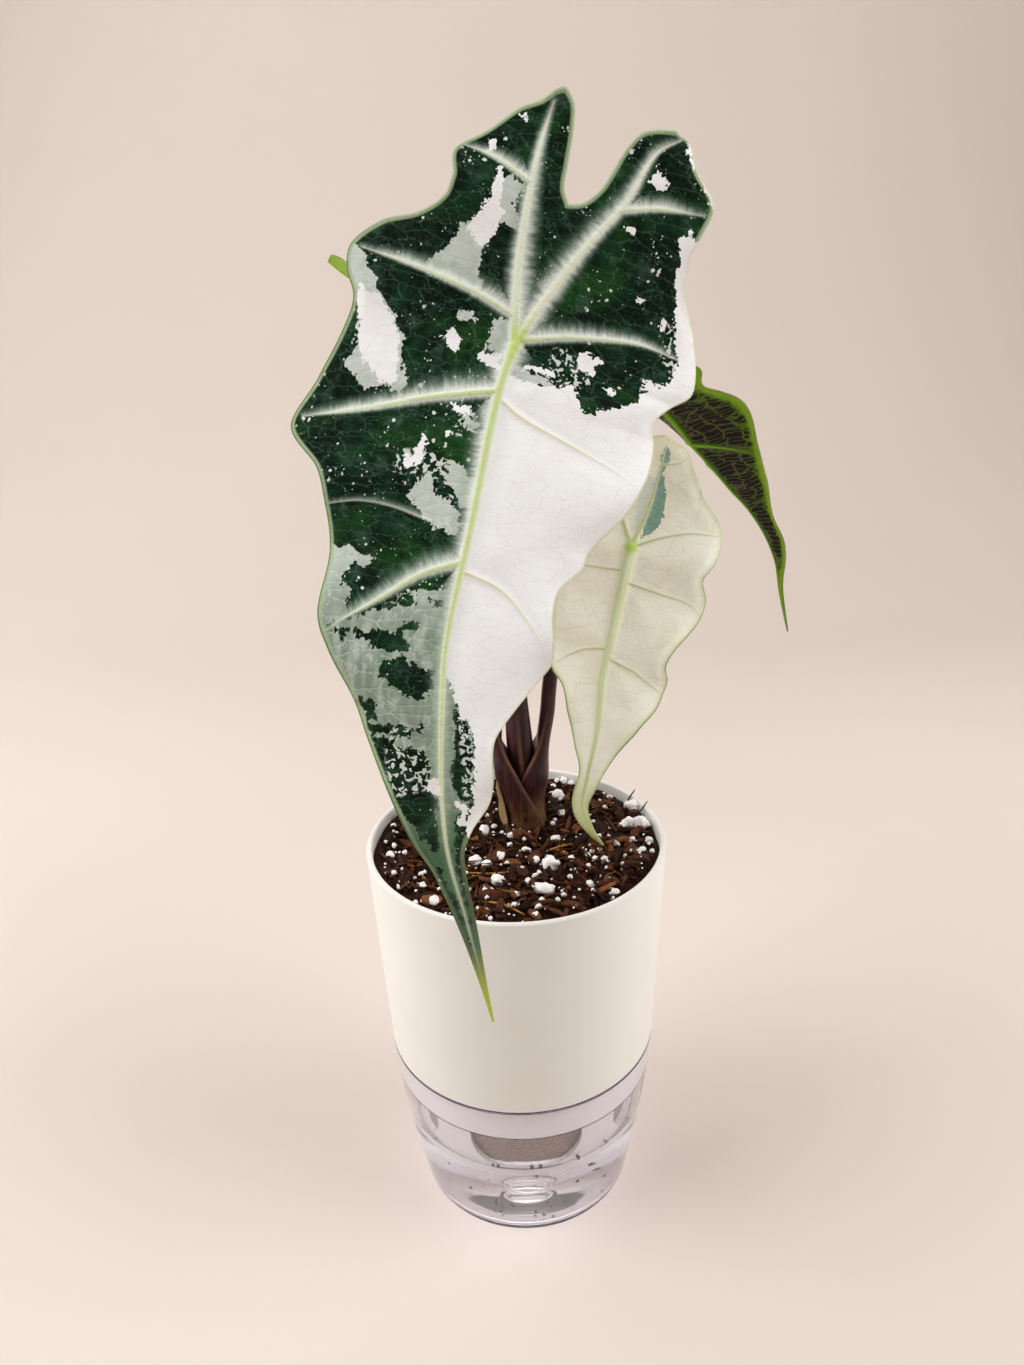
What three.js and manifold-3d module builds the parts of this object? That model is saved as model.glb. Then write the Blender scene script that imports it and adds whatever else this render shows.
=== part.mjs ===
// A variegated alocasia of three leaves in a self-watering pot: a cream planter that hangs its foot in a
// clear reservoir of water. Millimetres, +Z up, front along -Y, with the origin at the middle of the
// reservoir's underside.
import * as THREE from "three";
import { mergeVertices } from "three/addons/utils/BufferGeometryUtils.js";
import Module from "manifold-3d";

const wasm = await Module();
wasm.setup();

const GAP = 0.3; // running clearance between pieces that touch
const TAU = 2 * Math.PI;
const POT_SIDES = 36; // flat sides of each turned piece

// Pot: radii and heights of the planter's outside and of the clear reservoir below it
const RIM_Z = 154;
const RIM_R = 55;
const SEAM_Z = 71.2;
const SEAM_R = 51.4;
const PLANTER_WALL = 2.1;
const NECK_WALL = 2;
const LEDGE_Z = 57.2;
const LEDGE_R = 48.2;
const RESERVOIR_LIP = 2;
const RESERVOIR_FLOOR = 3;
const BASE_R = 42.6;
const BASE_FILLET = 6;
const WALL_BOW = 1.2;
const RESERVOIR_WALL = 2.6;
const GATE_R = 6.5;
const GATE_HEIGHT = 0.9;
const WATER_Z = 40;
const BEND_HEIGHTS = [20, 40]; // where the bowed wall changes slope

// Foot of the planter: a cup with five U-shaped windows, lined with felt
const FOOT_TOP_R = 46;
const FOOT_R = 43.4;
const FOOT_Z = 35;
const FOOT_WALL = 2;
const WINDOW_COUNT = 5;
const WINDOW_WIDTH = 40;
const WINDOW_LOW = 38;
const WINDOW_HIGH = 56;
const WINDOW_CORNER = 13;
const LINER_WALL = 1.4;

// Potting mix: its top, the lumps on it and the hole that the plant stands in
const SOIL_Z = 150.4;
const SOIL_BUMP = 0.72;
const SOIL_RINGS = [0.82, 0.62, 0.42, 0.2];
const PERLITE_COUNT = 36;
const PERLITE_SIZES = [0.9, 2.6];
const CHIP_COUNT = 30;
const CHIP_SIZE = [7.5, 3, 1.6];
const CHIP_SINK = 0.3;
const CHIP_TILT = [0.5, 0.7];
const LUMP_REACH = 49.2;
const LUMP_CLEARANCE = 5; // from the plant's hole
const SOIL_SEED = 20;
const STEM_X = 5.4;
const STEM_Y = 19;
const HOLE_R = 10.2;
const ROOT_POCKET_R = 16;
const ROOT_POCKET_Z = 96;
const CORM_TOP = 141;
const CORM_R = 8.6;
const CORM_HEIGHT = 24;
const ROOT_COUNT = 6;
const ROOT_RADIUS = 1.1;
const ROOT_SPREAD = [3.5, 8.5, 11.5, 9.5];
const ROOT_DEPTHS = [16, 19, 29, 38]; // below the corm's top

// Leaves
const BLADE_THICKNESS = 0.9;
const FOLD_SOFTNESS = 2.5;
const ROW_STEP = 7.5;
const COLUMNS = 3;
const RIB_STEP = 15;
const RIB_FRONT = 0.55; // height above and below the blade, as a share of the rib's width
const RIB_BACK = 0.8;
const RIB_TAPER = 0.62;
const EDGE_START = 14; // where the waves near the margin begin, from the midrib
const PETIOLE_TOP_GAP = BLADE_THICKNESS / 2 + 2.3;

// Each leaf is laid out flat in millimetres: s runs down the midrib from where the stalk joins, and t across
// it. spine rows are [s, x, y, z]; left outlines have t below zero. lobeIn runs from a lobe's end down to the
// sinus, lobeOut from the same end down to the margin beside it, and margin from there to the drip tip.
const MARBLED_LEAF = {
  across: [1, 0, 0],
  roll: 0,
  fold: 0,
  bend: -0.0018,
  ripple: { height: 2.6, length: 44, left: 0.4, right: 2.2 },
  spine: [
    [-76, 33, 10, 396], [-43, 22, 3, 365], [0, 5, -5, 327], [18, -1, -13, 312],
    [59, -10, -33, 278], [92, -18, -49, 249], [112, -20, -58, 231], [136, -21, -66, 209],
    [154, -20, -70, 191], [175, -16, -72, 171], [190, -13, -74, 156], [212, -9, -76, 134],
  ],
  sinus: [-43, 0],
  left: {
    lobeIn: [[-72.5, -10], [-69, -6.6], [-62, -4.8], [-53, -3.6], [-46.5, -2.6], [-43, 0]],
    lobeOut: [
      [-72.5, -10], [-71, -13], [-68, -16], [-64.5, -22], [-56.5, -29.5], [-47.5, -37], [-38.5, -34.7],
    ],
    margin: [
      [-38.5, -34.7], [-32, -35], [-25, -40.5], [-18.5, -51], [-9.5, -57.6], [-3.5, -56], [2.5, -51.3],
      [11, -52], [20, -55.5], [33.5, -61.5], [48.5, -48.7], [60, -44], [73, -40.2], [90.5, -38.5], [97, -34],
      [107.5, -26.7], [120, -22], [139.5, -13.5], [151.5, -9], [159, -6], [167, -4.6], [183.5, -2.4],
      [198, -1.2], [212, -0.3],
    ],
  },
  right: {
    lobeIn: [[-71, 24], [-69.3, 17.8], [-67, 14], [-61.5, 11], [-49.5, 7.3], [-44.5, 3.5], [-43, 0]],
    lobeOut: [[-71, 24], [-70, 28.5], [-63, 33], [-55, 41], [-48, 40.3], [-42.5, 39]],
    margin: [
      [-42.5, 39], [-34.5, 41.3], [-23.5, 50], [-14, 54.5], [-6, 55.4], [2, 50], [9, 47.2], [21, 49],
      [34, 48.3], [46.5, 44], [58.5, 35.3], [63, 34.4], [71, 29], [79, 28.9], [87, 30.6], [95.5, 30.9],
      [104.5, 25.9], [115, 18.5], [121, 15.4], [134, 15.1], [141, 13.4], [149, 7.7], [154.5, 4.9],
      [162, 3.8], [175, 2.9], [194, 1.4], [212, 0.3],
    ],
  },
  ribs: [
    { width: 2.6, path: [[0, 0], [60, 0], [120, 0], [170, 0], [206, 0]] },
    { width: 2.2, path: [[0, 0], [-20, -7], [-40, -11.5], [-55, -13], [-66, -13]] },
    { width: 2.2, path: [[0, 0], [-18, 4.2], [-35, 9.5], [-48, 15.5], [-63, 20]] },
    { width: 1.6, path: [[-9.5, -4], [-10.5, -31.5], [-10, -52]] },
    { width: 1.3, path: [[-45, -12.2], [-48.7, -24.7], [-49, -34]] },
    { width: 1.3, path: [[-46, 14.4], [-50, 25.5], [-52, 36]] },
    { width: 1.7, path: [[-1, 0], [-7, 12], [-11.5, 23.5], [-15, 35.4], [-15.5, 49]] },
    { width: 1.8, path: [[15.5, 0], [20.5, -17], [25.5, -34], [31, -56]] },
    { width: 1.5, path: [[18.5, 0], [24, 21], [29.5, 34], [35, 44]] },
    { width: 1.6, path: [[68.5, 0], [75, -11.3], [84, -21], [92, -33]] },
    { width: 1.4, path: [[71.5, 0], [74.5, 12.5], [80, 22.5], [87, 28]] },
  ],
  color: 0x1d4a2c,
};

const CREAM_LEAF = {
  across: [1, 0, 0],
  roll: 0,
  fold: 0,
  bend: -0.002,
  ripple: { height: 1.6, length: 31, left: 2.6, right: 0.6 },
  spine: [
    [-50, 56.5, 27, 305], [0, 43, 15, 258], [18, 39, 12, 241], [35, 35, 8, 225], [48, 32, 5, 213],
    [66, 30, 0, 196], [84, 26, -5, 180], [95, 24, -7, 170], [105, 27, -9, 161], [113, 31.5, -9, 154],
  ],
  sinus: [-22, -7],
  left: {
    lobeIn: [[-42, -20], [-38, -14], [-30, -10], [-22, -7]],
    lobeOut: [[-42, -20], [-41, -25], [-34, -29], [-26, -28]],
    margin: [
      [-26, -28], [-16, -30], [-6, -27], [6, -23.8], [24, -22.5], [39, -20], [46, -18.4], [51, -13.6],
      [61, -10.9], [73.5, -6.8], [81.5, -3.4], [89.5, -3.5], [98.5, -3.4], [106.5, -1.7], [113, -0.3],
    ],
  },
  right: {
    lobeIn: [[-39, 2], [-37, -2.5], [-30, -6.5], [-22, -7]],
    lobeOut: [[-39, 2], [-37.5, 6], [-36, 10.5], [-30, 14.5], [-22, 20]],
    margin: [
      [-22, 20], [-14, 29], [-7.5, 31], [0, 30], [7, 27.4], [14, 30.5], [21, 29.8], [33, 22.8], [38, 21.3],
      [44, 23.4], [56.5, 21.2], [64.5, 14.5], [72, 9.4], [82, 5.8], [91, 3.5], [98, 1.8], [106, 1],
      [113, 0.3],
    ],
  },
  ribs: [
    { width: 2, path: [[0, 0], [35, 0], [70, 0], [104, 0]] },
    { width: 1.5, path: [[0, 0], [-12, 1.6], [-33, 2.6]] },
    { width: 1.5, path: [[0, 0], [-12, -7], [-36, -19]] },
    { width: 1.1, path: [[-1, 0], [-7.5, 15.7], [-11, 27]] },
    { width: 1.1, path: [[13, 0], [14.5, 17], [18.5, 27]] },
    { width: 1, path: [[38, 0], [42, 12], [48, 20]] },
    { width: 1, path: [[8, 0], [9.5, -9], [9.5, -20]] },
    { width: 1, path: [[35, 0], [40, -9.7], [44.5, -17]] },
  ],
  color: 0xe8e2cc,
};

const DARK_LEAF = {
  across: [-0.3, 0.8, -0.4],
  roll: 8,
  fold: 38,
  bend: -0.002,
  ripple: { height: 1.4, length: 27, left: 1.1, right: 2.9 },
  spine: [
    [-70, -65, 35, 355], [-24, -25, 41, 333], [0, -3, 44, 323], [32, 27, 48, 311], [64, 56, 50, 297],
    [84, 70.6, 49, 284.6], [104, 84, 46, 270.2], [121, 94, 43, 258.2], [135, 100, 39, 245.2],
    [148, 101.6, 35, 232.6], [162, 104.2, 31, 219.2],
  ],
  sinus: [-24, 0],
  left: {
    lobeIn: [[-47, -14], [-43, -8], [-36, -5], [-28, -3], [-24, 0]],
    lobeOut: [[-47, -14], [-45, -20], [-38, -25], [-28, -27.5]],
    margin: [
      [-28, -27.5], [-12, -34], [4, -37], [18, -33.5], [34, -35.5], [48, -31], [56.5, -29.6], [62, -27],
      [65.5, -28], [68.5, -24], [74, -26], [80.5, -27], [89, -26], [97.5, -22], [108, -14], [120, -8.5],
      [129.5, -7], [134.5, -5.2], [142, -2.8], [152, -1.6], [162, -0.3],
    ],
  },
  right: {
    lobeIn: [[-60, 12], [-52, 6.5], [-40, 4.5], [-29, 2.5], [-24, 0]],
    lobeOut: [[-60, 12], [-59.5, 17], [-54, 22], [-44, 24], [-36, 27]],
    margin: [
      [-36, 27], [-20, 32], [0, 36], [15, 34.5], [30, 36], [45, 32], [60, 30.5], [75, 27], [90, 23],
      [104, 15], [118, 9], [130, 7], [145, 3.5], [155, 1.6], [162, 0.3],
    ],
  },
  ribs: [
    { width: 2.2, path: [[0, 0], [50, 0], [100, 0], [154, 0]] },
    { width: 1.5, path: [[0, 0], [-20, -6], [-42, -15]] },
    { width: 1.5, path: [[0, 0], [-22, 6], [-55, 14]] },
    { width: 1.2, path: [[-1, 0], [-4, -18], [-3, -33]] },
    { width: 1.2, path: [[-1, 0], [-4, 18], [-3, 33]] },
    { width: 1.2, path: [[22, 0], [28, -18], [37, -32]] },
    { width: 1.2, path: [[22, 0], [28, 18], [37, 32]] },
    { width: 1.1, path: [[56, 0], [66, -12], [79, -24]] },
    { width: 1.1, path: [[56, 0], [66, 12], [79, 24]] },
    { width: 0.9, path: [[90, 0], [98, -8], [108, -12]] },
    { width: 0.9, path: [[90, 0], [98, 8], [108, 12]] },
  ],
  color: 0x2a1620,
};

// Leaf stalks: path rows are [x, y, z, half width]. The two older ones start as sheaths wrapped round the
// youngest: wrap rows are [z, first angle, last angle, inner radius, edge thickness, middle thickness], and
// blend gives the heights between which a sheath becomes round. faces is the side that the stalk stands on.
const MARBLED_STALK = {
  leaf: MARBLED_LEAF,
  path: [
    [5.4, 19, 142, 4.2], [5.2, 19, 150, 4.5], [3.4, 18.5, 172, 5], [2.4, 17, 188, 4.8],
    [1.9, 15.5, 205, 3.9], [1.6, 13.5, 235, 3.1], [2.6, 10.5, 275, 2.8], [4.4, 8, 305, 2.7],
    [5.4, 4.4, 320, 2.6],
  ],
  faces: 0,
  color: 0x33171c,
};
const CREAM_STALK = {
  leaf: CREAM_LEAF,
  path: [
    [12, 19.3, 142, 2.6], [12, 19.3, 172, 2.9], [13.2, 20, 192, 2.8], [14.6, 21.2, 207, 2.7],
    [18.5, 23, 227, 2.5], [27, 25, 243, 2.3], [37, 25, 252, 2.2],
  ],
  wrap: [
    [142, -178, 150, 4.9, 0.8, 1.9], [150, -172, 140, 5.1, 0.8, 1.9], [160, -140, 110, 5.4, 0.8, 1.9],
    [170, -98, 95, 5.6, 0.9, 4.2], [182, -42, 60, 5.8, 1, 4.6], [192, -25, 40, 6.2, 1.2, 4.6],
  ],
  blend: [172, 198],
  faces: 0,
  color: 0x2e1518,
};
const DARK_STALK = {
  leaf: DARK_LEAF,
  path: [
    [-4.5, 19.6, 142, 2.8], [-5, 19.8, 172, 3], [-6, 20.5, 192, 2.9], [-7.5, 23.5, 225, 2.6],
    [-8.5, 29, 262, 2.4], [-8, 35, 293, 2.3], [-6, 38.8, 311, 2.3],
  ],
  wrap: [
    [142, 38, 322, 7.5, 0.8, 1.9], [150, 44, 318, 7.6, 0.8, 1.9], [160, 68, 292, 8, 0.8, 2.2],
    [170, 96, 264, 8.1, 0.9, 2.6], [182, 135, 236, 8.1, 1, 3.4], [192, 150, 220, 8, 1.2, 4.4],
  ],
  blend: [172, 198],
  faces: Math.PI,
  color: 0x35191c,
};
const STALK_PAIRS = 9; // points along a stalk's outer side, with as many along its inner side
const STALK_STEP = 10;
const STALK_DEPTH = 0.92; // front to back, as a share of the width
const STALK_SEAM = 0.36; // angle between the two halves of a stalk's loop
const STALK_KNEE = 4;
const DRY_SHEATH = { low: 153, high: 169, inner: 10.6, thickness: 0.8, from: 188, to: 242, narrowing: 0.425 };

const YOUNGEST_LINE = MARBLED_STALK.path.map(([x, y, z]) => [z, x, y]);

// A closed three.js geometry as a solid.
function solidOf(geometry) {
  const bare = geometry.index ? geometry.toNonIndexed() : geometry.clone();
  bare.deleteAttribute("normal");
  bare.deleteAttribute("uv");
  const merged = mergeVertices(bare, 1e-3);
  const corners = merged.index.array;
  const triVerts = [];
  for (let i = 0; i < corners.length; i += 3) {
    const [a, b, c] = corners.slice(i, i + 3);
    if (a !== b && b !== c && a !== c) {
      triVerts.push(a, b, c);
    }
  }
  const build = (indices) =>
    new wasm.Manifold(
      new wasm.Mesh({
        numProp: 3,
        vertProperties: merged.attributes.position.array,
        triVerts: new Uint32Array(indices),
      }),
    );
  const made = build(triVerts);
  return made.volume() > 0 ? made : build(triVerts.reverse());
}

// The biggest body of a solid, without any loose scrap of a lump.
function largestBody(solid) {
  return solid.decompose().reduce((a, b) => (b.volume() > a.volume() ? b : a));
}

function geometryOf(solid) {
  const mesh = solid.getMesh();
  const positions = new Float32Array(mesh.numVert * 3);
  for (let i = 0; i < mesh.numVert; i += 1) {
    positions.set(mesh.vertProperties.subarray(i * mesh.numProp, i * mesh.numProp + 3), i * 3);
  }
  const geometry = new THREE.BufferGeometry();
  geometry.setAttribute("position", new THREE.BufferAttribute(positions, 3));
  geometry.setIndex(new THREE.BufferAttribute(mesh.triVerts, 1));
  geometry.computeVertexNormals();
  return geometry;
}

function piece(name, solid, look) {
  const material = new THREE.MeshStandardMaterial({ metalness: 0, flatShading: true, ...look });
  const mesh = new THREE.Mesh(geometryOf(solid), material);
  mesh.name = name;
  return mesh;
}

function indexedGeometry(vertices, triangles) {
  const geometry = new THREE.BufferGeometry();
  const flat = vertices.flatMap((v) => [v.x, v.y, v.z]);
  geometry.setAttribute("position", new THREE.Float32BufferAttribute(flat, 3));
  geometry.setIndex(triangles);
  return geometry;
}

// A profile of [radius, height] points turned round the Z axis.
function turned(profile, segments) {
  const points = profile.map(([r, z]) => new THREE.Vector2(r, z));
  return solidOf(new THREE.LatheGeometry(points, segments).rotateX(Math.PI / 2));
}

// Points of a quarter-round corner from one angle to another.
function cornerArc(x, y, radius, from, to, steps) {
  return Array.from({ length: steps + 1 }, (_, i) => {
    const a = THREE.MathUtils.degToRad(from + ((to - from) * i) / steps);
    return [x + radius * Math.cos(a), y + radius * Math.sin(a)];
  });
}

// A skin over loops of equal length, closed at both ends by strips between each loop's two halves.
function loft(loops) {
  const size = loops[0].length;
  const triangles = [];
  for (let k = 0; k + 1 < loops.length; k += 1) {
    for (let i = 0; i < size; i += 1) {
      const a = k * size + i;
      const b = k * size + ((i + 1) % size);
      triangles.push(a, b, b + size, a, b + size, a + size);
    }
  }
  const last = (loops.length - 1) * size;
  for (let i = 0; i + 1 < size / 2; i += 1) {
    const [a, b, c, d] = [i, i + 1, size - 2 - i, size - 1 - i];
    triangles.push(a, c, b, a, d, c);
    triangles.push(last + a, last + b, last + c, last + a, last + c, last + d);
  }
  return solidOf(indexedGeometry(loops.flat(), triangles));
}

// Values along rows of [place, value, value, ...], joined by a smooth curve.
function along(rows, place) {
  const slope = (i, k) => {
    const a = rows[Math.max(i - 1, 0)];
    const b = rows[Math.min(i + 1, rows.length - 1)];
    return (b[k] - a[k]) / (b[0] - a[0]);
  };
  let i = 0;
  while (i < rows.length - 2 && place > rows[i + 1][0]) {
    i += 1;
  }
  const span = rows[i + 1][0] - rows[i][0];
  const u = THREE.MathUtils.clamp((place - rows[i][0]) / span, 0, 1);
  return rows[i].slice(1).map((_, n) => {
    const k = n + 1;
    const rise = (2 * u ** 3 - 3 * u ** 2 + 1) * rows[i][k] + (3 * u ** 2 - 2 * u ** 3) * rows[i + 1][k];
    const lean = (u ** 3 - 2 * u ** 2 + u) * slope(i, k) + (u ** 3 - u ** 2) * slope(i + 1, k);
    return rise + lean * span;
  });
}

const smoothstep = (low, high, x) => THREE.MathUtils.smoothstep(x, low, high);

// Seeded random numbers from 0 to 1.
function randomFrom(seed) {
  let state = seed;
  return () => {
    state = (Math.imul(state, 1664525) + 1013904223) >>> 0;
    return state / 4294967296;
  };
}

// Centre, tangent, across and upper-side directions of a leaf at s.
function leafFrame(leaf, s) {
  const at = (x) => new THREE.Vector3(...along(leaf.spine, x));
  const tangent = at(s + 0.5).sub(at(s - 0.5)).normalize();
  const level = new THREE.Vector3(...leaf.across);
  level.addScaledVector(tangent, -level.dot(tangent)).normalize();
  const roll = THREE.MathUtils.degToRad(leaf.roll);
  const across = level.applyAxisAngle(tangent, roll);
  const up = new THREE.Vector3().crossVectors(tangent, across);
  return { centre: at(s), tangent, across, up };
}

// The point of a leaf at (s, t), raised by lift along the surface's own normal. edge goes from 0 at the
// midrib to 1 at the margin, where the blade waves.
function onLeaf(leaf, [s, t], edge, lift) {
  const { centre, across, up } = leafFrame(leaf, s);
  const fold = THREE.MathUtils.degToRad(leaf.fold);
  const soft = Math.hypot(t, FOLD_SOFTNESS);
  const { height, length, left, right } = leaf.ripple;
  const wave = height * edge ** 3 * Math.sin((TAU * s) / length + (t < 0 ? left : right));
  const narrowing = smoothstep(0, EDGE_START, Math.abs(t));
  const rise = (soft - FOLD_SOFTNESS) * Math.sin(fold) + leaf.bend * t * t + wave * narrowing;
  const slope = (t / soft) * Math.sin(fold) + 2 * leaf.bend * t;
  const normal = up.clone().multiplyScalar(Math.cos(fold)).addScaledVector(across, -slope).normalize();
  return centre
    .addScaledVector(across, t * Math.cos(fold))
    .addScaledVector(up, rise)
    .addScaledVector(normal, lift);
}

function spaced(points, count) {
  return new THREE.SplineCurve(points.map((p) => new THREE.Vector2(...p))).getSpacedPoints(count);
}

// Both halves of a blade as rows of [s, t, edge] from the inner line to the margin, lobes first. The rows
// from the sinus down share their inner points, which lie on the midrib.
function bladeRows(leaf) {
  const tip = leaf.spine.at(-1)[0];
  const middle = [leaf.sinus, leaf.sinus.map((value) => value / 2), [0, 0]];
  for (let quarter = 1; quarter <= 4; quarter += 1) {
    middle.push([(tip * quarter) / 4, 0]);
  }
  const count = Math.round((tip - leaf.sinus[0]) / ROW_STEP);
  const inner = spaced(middle, count);
  return [leaf.left, leaf.right].map((half) => {
    const lobeCount = Math.round((leaf.sinus[0] - half.lobeIn[0][0]) / ROW_STEP) + 2;
    const ins = [...spaced(half.lobeIn, lobeCount).slice(0, -1), ...inner];
    const outs = [...spaced(half.lobeOut, lobeCount).slice(0, -1), ...spaced(half.margin, count)];
    return ins.map((a, row) =>
      Array.from({ length: COLUMNS + 1 }, (_, column) => {
        const p = a.clone().lerp(outs[row], column / COLUMNS);
        return [p.x, p.y, column / COLUMNS];
      }),
    );
  });
}

// A leaf blade: one sheet of triangles, with the same ones on its underside, closed along the margin.
function blade(leaf) {
  const front = [];
  const back = [];
  const known = new Map();
  const vertex = ([s, t, edge]) => {
    const key = `${s.toFixed(3)} ${t.toFixed(3)}`;
    if (!known.has(key)) {
      known.set(key, front.length);
      front.push(onLeaf(leaf, [s, t], edge, BLADE_THICKNESS / 2));
      back.push(onLeaf(leaf, [s, t], edge, -BLADE_THICKNESS / 2));
    }
    return known.get(key);
  };
  const sheet = [];
  const add = (a, b, c) => {
    if (a !== b && b !== c && a !== c) {
      sheet.push([a, b, c]);
    }
  };
  bladeRows(leaf).forEach((rows, side) => {
    const ids = rows.map((row) => row.map(vertex));
    for (let k = 0; k + 1 < ids.length; k += 1) {
      for (let i = 0; i < COLUMNS; i += 1) {
        const [a, b, c, d] = [ids[k][i], ids[k][i + 1], ids[k + 1][i + 1], ids[k + 1][i]];
        const quad = side === 0 ? [a, b, c, d] : [b, a, d, c];
        add(quad[0], quad[1], quad[2]);
        add(quad[0], quad[2], quad[3]);
      }
    }
  });
  const used = new Set(sheet.flatMap(([a, b, c]) => [`${a} ${b}`, `${b} ${c}`, `${c} ${a}`]));
  const under = front.length;
  const triangles = [];
  for (const [a, b, c] of sheet) {
    triangles.push(a, b, c, under + a, under + c, under + b);
    for (const [p, q] of [[a, b], [b, c], [c, a]]) {
      if (!used.has(`${q} ${p}`)) {
        triangles.push(q, p, under + p, q, under + p, under + q);
      }
    }
  }
  return solidOf(indexedGeometry([...front, ...back], triangles));
}

// A raised rib along a path on a leaf, a lozenge in section that thins out to its end.
function rib(leaf, { width, path }) {
  const curve = new THREE.SplineCurve(path.map((p) => new THREE.Vector2(...p)));
  const steps = Math.max(2, Math.round(curve.getLength() / RIB_STEP));
  const loops = curve.getSpacedPoints(steps).map((p, i, all) => {
    const ahead = all[Math.min(i + 1, steps)].clone().sub(all[Math.max(i - 1, 0)]).normalize();
    const size = width * (1 - RIB_TAPER * (i / steps));
    const side = (offset) => onLeaf(leaf, [p.x + offset * ahead.y, p.y - offset * ahead.x], 0, 0);
    return [
      side(-size / 2),
      onLeaf(leaf, [p.x, p.y], 0, BLADE_THICKNESS / 2 + RIB_FRONT * size),
      side(size / 2),
      onLeaf(leaf, [p.x, p.y], 0, -BLADE_THICKNESS / 2 - RIB_BACK * size),
    ];
  });
  return loft(loops);
}

function leafPiece(name, leaf) {
  const solid = leaf.ribs.reduce((sum, one) => sum.add(rib(leaf, one)), blade(leaf));
  return piece(name, solid, { color: leaf.color, roughness: 0.45 });
}

// One section of a stalk as a loop: an ellipse round the stalk's own line, or, low down, a sheath that wraps
// round the youngest stalk.
function stalkLoop(stalk, centre, radius, forward, round) {
  const side = new THREE.Vector3(1, 0, 0).addScaledVector(forward, -forward.x).normalize();
  const depth = new THREE.Vector3().crossVectors(forward, side);
  const spot = (angle) =>
    centre
      .clone()
      .addScaledVector(side, radius * Math.cos(angle + stalk.faces))
      .addScaledVector(depth, radius * STALK_DEPTH * Math.sin(angle + stalk.faces));
  const wrapped = (share, outer) => {
    const [first, last, inner, edge, middle] = along(stalk.wrap, Math.min(centre.z, stalk.wrap.at(-1)[0]));
    const angle = THREE.MathUtils.degToRad(first + (last - first) * share);
    const thick = edge + (middle - edge) * Math.sin(Math.PI * share) ** 0.8;
    const r = inner + (outer ? thick : 0);
    const [x, y] = along(YOUNGEST_LINE, centre.z);
    return new THREE.Vector3(x + r * Math.cos(angle), y + r * Math.sin(angle), centre.z);
  };
  return Array.from({ length: 2 * STALK_PAIRS }, (_, i) => {
    const outer = i < STALK_PAIRS;
    const share = (outer ? i : 2 * STALK_PAIRS - 1 - i) / (STALK_PAIRS - 1);
    const swing = (share - 0.5) * (Math.PI - STALK_SEAM);
    const plain = spot(outer ? swing : Math.PI - swing);
    return round < 1 ? wrapped(share, outer).lerp(plain, round) : plain;
  });
}

// A leaf stalk, bent at its top so that it meets the underside of its blade square on.
function stalkPiece(name, stalk) {
  const { centre: joint, up, tangent } = leafFrame(stalk.leaf, 0);
  const [, , topHeight, topRadius] = stalk.path.at(-1);
  const radii = stalk.path.map(([, , z, radius]) => [z, radius]);
  const end = joint.clone().addScaledVector(up, -PETIOLE_TOP_GAP);
  const knee = end.clone().addScaledVector(up, -STALK_KNEE).add(tangent);
  const points = [...stalk.path.map(([x, y, z]) => new THREE.Vector3(x, y, z)), knee, end];
  const curve = new THREE.CatmullRomCurve3(points, false, "centripetal");
  const steps = Math.round(curve.getLength() / STALK_STEP);
  const loops = curve.getSpacedPoints(steps).map((centre, i) => {
    const forward = i === steps ? up.clone() : curve.getTangentAt(i / steps);
    const round = stalk.wrap ? smoothstep(...stalk.blend, centre.z) : 1;
    forward.lerp(new THREE.Vector3(0, 0, 1), 1 - round).normalize();
    const radius = centre.z < topHeight ? along(radii, centre.z)[0] : topRadius;
    return stalkLoop(stalk, centre, radius, forward, round);
  });
  return piece(name, loft(loops), { color: stalk.color, roughness: 0.5 });
}

// A scrap of an old dry sheath, curved round the foot of the stalks and pointed at its top.
function drySheath() {
  const { low, high, inner, thickness, from, to, narrowing } = DRY_SHEATH;
  const loops = Array.from({ length: 6 }, (_, k) => {
    const share = k / 5;
    const z = low + (high - low) * share;
    const shrink = narrowing * share ** 2;
    const [x, y] = along(YOUNGEST_LINE, z);
    return Array.from({ length: 8 }, (_, i) => {
      const outer = i < 4;
      const place = shrink + (1 - 2 * shrink) * ((outer ? i : 7 - i) / 3);
      const angle = THREE.MathUtils.degToRad(from + (to - from) * place);
      const r = inner + (outer ? thickness : 0);
      return new THREE.Vector3(x + r * Math.cos(angle), y + r * Math.sin(angle), z);
    });
  });
  return piece("dry_sheath", loft(loops), { color: 0xc9a878, roughness: 0.8 });
}

// The outside of the pot in one line: straight from the rim to the seam, then slightly bowed to the base.
function outsideRadius(z) {
  if (z >= SEAM_Z) return SEAM_R + ((RIM_R - SEAM_R) * (z - SEAM_Z)) / (RIM_Z - SEAM_Z);
  const share = (z - BASE_FILLET) / (SEAM_Z - BASE_FILLET);
  return BASE_R + (SEAM_R - BASE_R) * share + WALL_BOW * 4 * share * (1 - share);
}

const insideRadius = (z) => outsideRadius(z) - RESERVOIR_WALL;

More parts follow.
